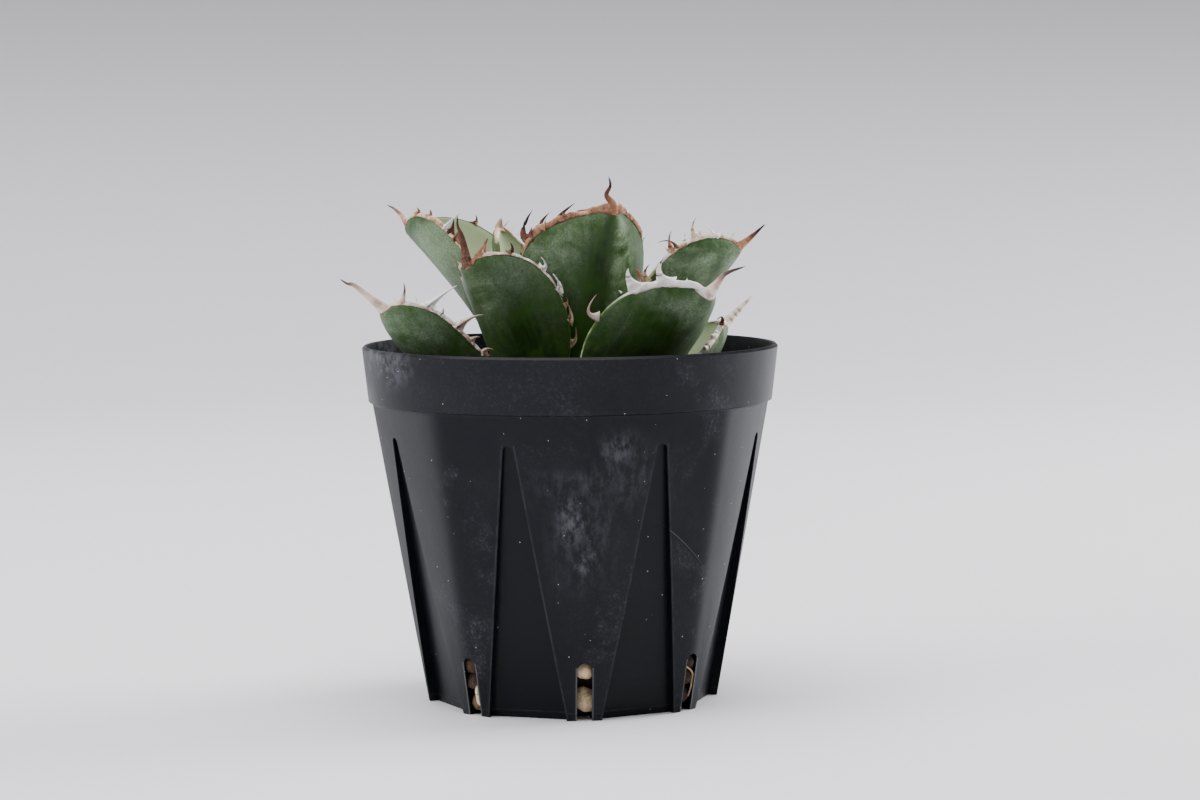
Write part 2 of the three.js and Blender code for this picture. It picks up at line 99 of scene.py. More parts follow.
def extrude_rings(bm, rings, to_point=False):
    """A closed form through rings of places, each a list of as many vectors."""
    corners = bmesh.ops.create_circle(bm, cap_ends=True, segments=len(rings[0]), radius=1)["verts"]
    cap = corners[0].link_faces[0]
    made = list(corners)
    for corner, spot in zip(corners, rings[0]):
        corner.co = spot
    for ring in rings[1:]:
        order = {corner: i for i, corner in enumerate(corners)}
        grown = bmesh.ops.extrude_face_region(bm, geom=[cap])["geom"]
        cap = next(g for g in grown if isinstance(g, bmesh.types.BMFace))
        fresh = [None] * len(corners)
        for g in grown:
            if isinstance(g, bmesh.types.BMVert):
                old = next(e.other_vert(g) for e in g.link_edges if e.other_vert(g) in order)
                fresh[order[old]] = g
                g.co = ring[order[old]]
        corners = fresh
        made += fresh
    if to_point:
        centre = sum((corner.co for corner in corners), Vector()) / len(corners)
        bmesh.ops.pointmerge(bm, verts=corners, merge_co=centre)
        made = [v for v in made if v.is_valid]
    return made


def apply_modifiers(piece):
    graph = bpy.context.evaluated_depsgraph_get()
    done = bpy.data.meshes.new_from_object(piece.evaluated_get(graph))
    piece.modifiers.clear()
    piece.data = done


def cut_away(piece, tool_bm):
    tool = add_piece(piece.name + "_tool", tool_bm, piece.data.materials[0], None)
    cut = piece.modifiers.new("cut", "BOOLEAN")
    cut.operation = "DIFFERENCE"
    cut.solver = "EXACT"
    cut.object = tool
    apply_modifiers(piece)
    bpy.data.objects.remove(tool)


def wobble(place, size, seed=0.0):
    """A smooth repeatable number from about -1 to 1 that varies over the given size."""
    return noise.noise(Vector(place) / size + Vector((seed, 7.3 * seed, 0)))

# %% [markdown]
# ## Helpers for finishes
# Every finish is a small net of nodes on one Principled shader. Patterns are laid out on the
# object's own coordinates, in metres, or on a value that the piece's corners carry, so they stay
# put when the object is seen from elsewhere.

# %% Node helpers
def start_finish(name):
    """Begins a finish. The helpers below draw in the net of the one begun last."""
    global tree, shader
    finish = bpy.data.materials.new(name)
    finish.use_nodes = True
    tree = finish.node_tree
    shader = tree.nodes["Principled BSDF"]
    return finish


def wire(socket, value):
    """Links the value if it is another node's output, or else sets it."""
    if isinstance(value, bpy.types.NodeSocket):
        tree.links.new(value, socket)
    elif socket.type == "RGBA" and len(value) == 3:
        socket.default_value = (*value, 1)
    else:
        socket.default_value = value


def put(kind, **sockets):
    node = tree.nodes.new("ShaderNode" + kind)
    for key, value in sockets.items():
        wire(node.inputs[key], value)
    return node.outputs


def math_of(operation, *values):
    node = tree.nodes.new("ShaderNodeMath")
    node.operation = operation
    for socket, value in zip(node.inputs, values):
        wire(socket, value)
    return node.outputs[0]


def times(first, second):
    return math_of("MULTIPLY", first, second)


def times_plus(first, second, added):
    return math_of("MULTIPLY_ADD", first, second, added)


def less(first, second):
    return math_of("SUBTRACT", first, second)


def highest(first, *others):
    for other in others:
        first = math_of("MAXIMUM", first, other)
    return first


def blend(share, first, second):
    node = tree.nodes.new("ShaderNodeMix")
    node.data_type = "RGBA"
    for index, value in ((0, share), (6, first), (7, second)):
        wire(node.inputs[index], value)
    return node.outputs[2]


def span(value, low, high, least=0.0, most=1.0):
    """Eases from least to most while the value goes from low to high."""
    node = tree.nodes.new("ShaderNodeMapRange")
    node.interpolation_type = "SMOOTHSTEP"
    for index, given in enumerate((value, low, high, least, most)):
        wire(node.inputs[index], given)
    return node.outputs[0]


def grain(places, scale, detail=4.0, roughness=0.6, distortion=0.0):
    return put("TexNoise", Vector=places, Scale=scale, Detail=detail, Roughness=roughness,
               Distortion=distortion)[0]


def relief(height, distance, strength=1.0, under=None):
    bump = {"Normal": under} if under else {}
    return put("Bump", Height=height, Distance=distance, Strength=strength, **bump)[0]


def object_places():
    return put("TexCoord")["Object"]


def stretched(places, scale):
    return put("Mapping", Vector=places, Scale=scale)[0]


def apart(places):
    return put("SeparateXYZ", Vector=places)[:]


def carried(name, output="Fac"):
    """What the piece's corners carry under that name."""
    node = tree.nodes.new("ShaderNodeAttribute")
    node.attribute_name = name
    return node.outputs[output]

# %% [markdown]
# ## Floor and light
# The pot stands on a pale grey sweep in a bright room. A flat floor whose rim curves up all
# round gives the same soft background from every side. Spinning a bevelled line about the pot's
# axis makes it. Three large soft lamps do the lighting. The plastic mirrors only the one overhead:
# the two at the sides light the plant, and are kept out of reflections, where they would draw hard
# stripes on the dark pot.

# %% Make the sweep
FLOOR_REACH = 2.0
SWEEP_HEIGHT = 1.5

bm = bmesh.new()
path = [bm.verts.new(p) for p in ((0, 0, 0), (FLOOR_REACH, 0, 0), (FLOOR_REACH, 0, SWEEP_HEIGHT))]
for first, second in zip(path, path[1:]):
    bm.edges.new((first, second))
bmesh.ops.bevel(bm, geom=[path[1]], offset=1.2, affect="VERTICES", segments=12, profile=0.5,
                material=-1)
bmesh.ops.spin(bm, geom=bm.verts[:] + bm.edges[:], cent=(0, 0, 0), axis=(0, 0, 1),
               angle=2 * math.pi, steps=96, use_merge=True)
bmesh.ops.remove_doubles(bm, verts=bm.verts, dist=1e-5)
bmesh.ops.recalc_face_normals(bm, faces=bm.faces)
if sum(f.normal.z for f in bm.faces) < 0:
    bmesh.ops.reverse_faces(bm, faces=bm.faces)

sweep_finish = start_finish("pale_sweep")
places = object_places()
patches = grain(places, 9, 5)
pale = blend(patches, (0.88, 0.875, 0.918), (0.92, 0.915, 0.958))
# The sweep is painted darker as it rises, from pale at the floor to mid grey: painted shade where
# the light falls off up the backdrop.
height = apart(places)[2]
wire(shader.inputs["Base Color"], blend(span(height, 0.02, 0.28), pale, (0.49, 0.485, 0.495)))
shader.inputs["Roughness"].default_value = 0.55
shader.inputs["Specular IOR Level"].default_value = 0.25
sweep = add_piece("sweep", bm, sweep_finish, None)
print("sweep faces:", len(sweep.data.polygons))

# %% Hang the lamps
PLANT_MIDDLE = Vector((0, 0, 0.06))


def hang_lamp(name, place, size, watts, mirrored=False):
    lamp = bpy.data.lights.new(name, "AREA")
    lamp.shape = "RECTANGLE"
    lamp.size, lamp.size_y = size
    lamp.energy = watts
    hung = bpy.data.objects.new(name, lamp)
    hung.location = place
    hung.rotation_euler = (PLANT_MIDDLE - Vector(place)).to_track_quat("-Z", "Y").to_euler()
    hung.visible_camera = False
    hung.visible_glossy = mirrored
    bpy.context.collection.objects.link(hung)


hang_lamp("overhead", (-0.12, 0.05, 1.15), (1.3, 1.3), 24, mirrored=True)
hang_lamp("left_bank", (-1.10, -0.35, 0.40), (0.8, 0.8), 11)
hang_lamp("right_bank", (1.10, 0.40, 0.40), (0.7, 0.8), 25)
world = bpy.data.worlds.new("room")
world.use_nodes = True
room_light = world.node_tree.nodes["Background"].inputs
room_light["Color"].default_value = (0.93, 0.95, 1.0, 1)
room_light["Strength"].default_value = 0.24
bpy.context.scene.world = world

# %% [markdown]
# ## The pot
# The real pot is one thin moulding of black plastic: a plain collar, a tapering body with eight
# sunk triangular flats that stiffen it, and eight narrow slits at the foot that air the roots. It
# could be a lathe shape with painted flats, but the flats change the outline at the foot. So the
# outside and the inside are each spun from a few corners, the flats are cut from both, and the
# inside is then cut from the outside, which leaves a wall of even thickness.

# %% The pot's own sizes, as in the part's source
POT_HEIGHT = 77 * MM
RIM_RADIUS = 45 * MM
COLLAR_HEIGHT = 12.2 * MM
COLLAR_FOOT_RADIUS = 43.7 * MM
COLLAR_STEP = 0.8 * MM
FLOOR_RADIUS = 31.5 * MM
WALL = 1.0 * MM
SEEN_WALL = 0.7 * MM                   # the body is a little thinner than the source's even wall
FLOOR_THICKNESS = 1.4 * MM
SLIT_COUNT = 8
SLIT_WIDTH = 3.2 * MM
SLIT_TOP = 12.5 * MM
SLIT_IN_FLOOR = 6 * MM
CUTTER_DEPTH = 12 * MM
FLAT_TOP = 60.1 * MM
FLAT_FOOT_RADIUS = 28.4 * MM
FLAT_TIP_DEPTH = 0.8 * MM
FLAT_TIP_WIDTH = 2.2 * MM
FLAT_FOOT_WIDTH = 17.2 * MM
POT_SIDES = 192
BODY_TOP = POT_HEIGHT - COLLAR_HEIGHT
BODY_TOP_RADIUS = COLLAR_FOOT_RADIUS - COLLAR_STEP


def body_radius(z):
    return FLOOR_RADIUS + (BODY_TOP_RADIUS - FLOOR_RADIUS) * z / BODY_TOP

# %% Spin, flat cutter and slit cutter
def spun(profile, sides, rounding=0.0):
    """A closed solid of revolution from (radius, height) pairs that start and end on the axis."""
    bm = bmesh.new()
    line = [bm.verts.new((r, 0, z)) for r, z in profile]
    for first, second in zip(line, line[1:]):
        bm.edges.new((first, second))
    if rounding:
        bmesh.ops.bevel(bm, geom=line[1:-1], offset=rounding, affect="VERTICES", segments=3,
                        profile=0.5, material=-1)
    bmesh.ops.spin(bm, geom=bm.verts[:] + bm.edges[:], cent=(0, 0, 0), axis=(0, 0, 1),
                   angle=2 * math.pi, steps=sides, use_merge=True)
    bmesh.ops.remove_doubles(bm, verts=bm.verts, dist=1e-6)
    bmesh.ops.recalc_face_normals(bm, faces=bm.faces)
    return bm


def round_topped_bar(bm, foot_width, top_width, top, depth):
    """A bar along -Y whose front is a straight-sided outline with a round top."""
    rounding = bmesh.ops.create_circle(bm, segments=24, radius=top_width / 2)["verts"]
    lower = [corner for corner in rounding if corner.co.y < -1e-6]
    bmesh.ops.delete(bm, geom=lower, context="VERTS")
    outline = [corner for corner in rounding if corner.is_valid]
    bmesh.ops.rotate(bm, verts=outline, matrix=Matrix.Rotation(math.pi / 2, 3, "X"))
    bmesh.ops.translate(bm, verts=outline, vec=(0, 0, top - top_width / 2))
    outline += [bm.verts.new((side * foot_width / 2, 0, -2 * MM)) for side in (-1, 1)]
    front = bmesh.ops.contextual_create(bm, geom=outline)["faces"]
    grown = bmesh.ops.extrude_face_region(bm, geom=front)["geom"]
    back = [g for g in grown if isinstance(g, bmesh.types.BMVert)]
    bmesh.ops.translate(bm, verts=back, vec=(0, -depth, 0))
    return outline + back


def around_the_pot(make_bar, first_turn):
    """Eight cutters, one for each slit or each flat."""
    bm = bmesh.new()
    for i in range(SLIT_COUNT):
        bar = make_bar(bm)
        turn = (i + first_turn) * 2 * math.pi / SLIT_COUNT
        bmesh.ops.rotate(bm, verts=bar, matrix=Matrix.Rotation(turn, 3, "Z"))
    bmesh.ops.recalc_face_normals(bm, faces=bm.faces)
    return bm


def flat_cutters(grow):
    top_radius = body_radius(FLAT_TOP) - FLAT_TIP_DEPTH
    tilt = math.atan2(top_radius - FLAT_FOOT_RADIUS, FLAT_TOP)

    def make_bar(bm):
        bar = round_topped_bar(bm, FLAT_FOOT_WIDTH * 1.03 + 2 * grow, FLAT_TIP_WIDTH + 2 * grow,
                               FLAT_TOP + grow, CUTTER_DEPTH)
        bmesh.ops.rotate(bm, verts=bar, matrix=Matrix.Rotation(tilt, 3, "X"))
        bmesh.ops.translate(bm, verts=bar, vec=(0, grow - FLAT_FOOT_RADIUS, 0))
        return bar

    return around_the_pot(make_bar, 0.5)


def slit_cutters(into_floor, wider=0.0, higher=0.0):
    def make_bar(bm):
        width = SLIT_WIDTH + wider
        bar = round_topped_bar(bm, width, width, SLIT_TOP + higher, CUTTER_DEPTH)
        bmesh.ops.translate(bm, verts=bar, vec=(0, into_floor - FLOOR_RADIUS, 0))
        return bar

    return around_the_pot(make_bar, 0)

# %% [markdown]
# ### The pot's plastic: dust and marks
# Recycled black plastic is a bluish charcoal with a soft shine. A pot that has stood in a
# greenhouse carries dried water marks, dust specks, a rubbed smear on its front and a long hair
# scratch. Each is a mask from the object's coordinates that lightens the colour and dulls the
# shine, so that the clean parts stay dark and satin.

# %% Lay out the dust and the marks
plastic = start_finish("pot_plastic")
places = object_places()
x, y, z = apart(places)
front = math_of("LESS_THAN", y, 0.0)


def near(value, middle, reach):
    """1 where the value is at middle, falling to 0 at that reach."""
    return span(math_of("ABSOLUTE", less(value, middle)), 0.0, reach, 1.0, 0.0)


def smudge(across, height, wide, tall):
    """A soft spot on the pot's front, of that half-width and half-height."""
    return times(front, times(near(x, across, wide), near(z, height, tall)))


water_marks = span(grain(places, 70, 8, 0.65, 0.4), 0.50, 0.74)
film = span(grain(places, 28, 5), 0.35, 0.75)
powder = span(grain(places, 1500, 3, 0.7), 0.48, 0.72)
cells = put("TexVoronoi", Vector=places, Scale=900)
speck_size = times(span(put("SeparateColor", Color=cells["Color"])[0], 0.88, 1.0), 0.10)
specks = math_of("LESS_THAN", cells["Distance"], speck_size)
streaks = span(grain(stretched(places, (1, 1, 0.45)), 600, 6, 0.75), 0.38, 0.66)
smear = highest(smudge(-0.0029, 0.0427, 0.0050, 0.0085), smudge(-0.0002, 0.0345, 0.0048, 0.0052),
                times(smudge(0.0, 0.040, 0.011, 0.020), 0.4))
smear = times(smear, streaks)
patch = highest(smudge(0.0065, 0.0577, 0.0075, 0.0060),
                times(smudge(0.004, 0.052, 0.022, 0.012), 0.5))
patch = times(patch, highest(water_marks, streaks))
rim_stain = times(near(x, -0.043, 0.011), near(z, 0.0745, 0.0075))
rim_stain = times(rim_stain, span(grain(places, 260, 6, 0.7), 0.4, 0.62))
# The hair scratch is a shallow parabola on the right of the front.
from_bend = less(x, 0.012)
scratch_line = times_plus(math_of("POWER", from_bend, 2.0), -38.0, 0.0435)
scratch_line = times_plus(from_bend, -0.35, scratch_line)
scratch = times(near(less(z, scratch_line), 0.0, 0.00015), times(near(x, 0.020, 0.0095), front))

dust_and_painted_light = highest(times(water_marks, times_plus(powder, 0.36, 0.08)),
               times(film, times_plus(powder, 0.080, 0.030)),
               times(smear, 0.60), times(patch, 0.45), times(rim_stain, 0.9), times(scratch, 0.6))
collar = span(z, BODY_TOP - 0.0006, BODY_TOP + 0.0004)
# How far a place lies inside the plain cone tells the sunk flats, which get far less of the pale
# dust and so stay darker.
radius = math_of("SQRT", times_plus(x, x, times(y, y)))
cone = times_plus(z, (BODY_TOP_RADIUS - FLOOR_RADIUS) / BODY_TOP, FLOOR_RADIUS)
inwards = less(cone, radius)
sunk = times(span(inwards, 0.0001, 0.0005), less(1.0, collar))
dust_and_painted_light = times(dust_and_painted_light, times_plus(sunk, -0.88, 1.0))
# The strip just under the collar, left of the middle, gets much less dust and so stays darker: a
# painted shadow of the collar.
collar_shadow = times(span(z, 0.0520, 0.0545), span(x, 0.001, 0.005, 1.0, 0.0))
collar_shadow = times(collar_shadow, less(1.0, collar))
dust_and_painted_light = times(dust_and_painted_light, times_plus(collar_shadow, -0.75, 1.0))
dust_and_painted_light = times_plus(collar, 0.012, dust_and_painted_light)

# %% [markdown]
# ### The pot's plastic: edges and the eight-sided body
# The edges of the flats carry a thin pale line, a painted highlight on their rounding, and handling
# wears the edges of the slits pale. Below the round collar the real body is not quite round: its
# sides are nearly flat from slit to slit, with a soft turn at each slit. That is less than a
# millimetre and hardly moves the outline, but it decides where the light falls off. So a height
# made from two cosines tilts only the shading, and the collar and the flats keep theirs.

# %% Paint the pale edge lines and finish the plastic
PITCH = 2 * math.pi / SLIT_COUNT
turn = times_plus(math_of("ARCTAN2", x, y), 1 / PITCH, 0.5)


def turned_from(shift):
    """The angle from the middle of the nearest slit, or with 0.5 of the nearest flat."""
    part = math_of("FRACT", math_of("ADD", turn, shift))
    return math_of("ABSOLUTE", times_plus(part, PITCH, -PITCH / 2))


def edge_line(half_foot, half_top, top, shift, outwards):
    """A thin pale line along the outline of every flat, or of every slit."""
    away = times(math_of("SINE", turned_from(shift)), radius)
    half = times_plus(z, (half_top - half_foot) / top, half_foot)
    return times(near(less(away, half), outwards, 0.0003), math_of("LESS_THAN", z, top))


# A pale line along the edge of every flat is a painted highlight on its rounding; another pale line
# runs round the foot.
pale_edge_lines = edge_line(FLAT_FOOT_WIDTH / 2, FLAT_TIP_WIDTH / 2, FLAT_TOP - 1.4 * MM, 0.5, 0.0002)
pale_edge_lines = highest(pale_edge_lines, times(0.9, near(z, 0.0016, 0.0002)))
pale_edge_lines = times(pale_edge_lines, span(grain(places, 300, 4), 0.35, 0.6, 0.3, 1.0))
dust_and_painted_light = highest(dust_and_painted_light, times(pale_edge_lines, 0.15))
slit_rim = edge_line(SLIT_WIDTH / 2, SLIT_WIDTH / 2, SLIT_TOP - 1.0 * MM, 0.0, 0.00012)
slit_rim = times(slit_rim, span(inwards, 0.00010, 0.00025, 1.0, 0.0))

own_side = math_of("COSINE", turned_from(0.5))
next_side = math_of("COSINE", less(PITCH, turned_from(0.5)))
octagon = less(1.0, math_of("SMOOTH_MAX", own_side, next_side, 0.09))

colour = blend(grain(places, 40, 3), (0.0022, 0.0025, 0.0044), (0.0036, 0.0041, 0.0068))
# The sunk flats are painted darker still: painted shade in the recesses.
colour = blend(times(sunk, 0.6), colour, (0.0020, 0.0023, 0.0040))
# This mask lightens the colour for the dust and marks, and also carries the painted shadow under
# the collar and the painted highlight along the flats' edges.
colour = blend(dust_and_painted_light, colour, (0.13, 0.135, 0.15))
colour = blend(times(slit_rim, 0.28), colour, (0.26, 0.26, 0.26))
colour = blend(specks, colour, (0.50, 0.50, 0.50))
wire(shader.inputs["Base Color"], colour)
wire(shader.inputs["Roughness"], times_plus(dust_and_painted_light, 0.5, 0.36))
shader.inputs["IOR"].default_value = 1.49
shader.inputs["Specular IOR Level"].default_value = 0.14
skin_relief = relief(grain(places, 900, 3), 0.00004, 0.5)
skin_relief = relief(grain(places, 55, 2), 0.0006, 0.35, skin_relief)
eight_sided = relief(octagon, 0.034, 1.0, skin_relief)
skin_relief = blend(highest(sunk, collar), eight_sided, skin_relief)
wire(shader.inputs["Normal"], relief(specks, 0.00008, 0.6, skin_relief))

# %% Cut and round the pot
outside = [(0, 0), (FLOOR_RADIUS, 0), (BODY_TOP_RADIUS, BODY_TOP),
           (COLLAR_FOOT_RADIUS, BODY_TOP + 0.3 * MM), (RIM_RADIUS, POT_HEIGHT - 0.5 * MM),
           (RIM_RADIUS - 0.45 * MM, POT_HEIGHT), (0, POT_HEIGHT)]
inside = [(0, FLOOR_THICKNESS), (body_radius(0) - SEEN_WALL - 0.5 * MM, FLOOR_THICKNESS),
          (body_radius(3 * MM) - SEEN_WALL, 3 * MM), (BODY_TOP_RADIUS - SEEN_WALL, BODY_TOP),
          (COLLAR_FOOT_RADIUS - WALL, BODY_TOP + 1 * MM),
          (RIM_RADIUS - WALL, POT_HEIGHT - 0.3 * MM),
          (RIM_RADIUS - WALL + 0.3 * MM, POT_HEIGHT + 0.3 * MM), (0, POT_HEIGHT + 0.3 * MM)]

pot = add_piece("nursery_pot", spun(outside, POT_SIDES), plastic, "pot", ["pot"])
cut_away(pot, flat_cutters(0))
hollow = add_piece("hollow", spun(inside, POT_SIDES), plastic, None)
cut_away(hollow, flat_cutters(SEEN_WALL))
bm = bmesh.new()
bm.from_mesh(hollow.data)
bpy.data.objects.remove(hollow)
cut_away(pot, bm)
cut_away(pot, slit_cutters(SLIT_IN_FLOOR))

rounding = pot.modifiers.new("rounding", "BEVEL")
rounding.width = 0.20 * MM
rounding.segments = 2
rounding.limit_method = "ANGLE"
rounding.angle_limit = math.radians(9)
rounding.use_clamp_overlap = True
rounding.harden_normals = True
print("pot faces:", len(pot.data.polygons), "size:", [round(v, 4) for v in pot.dimensions])
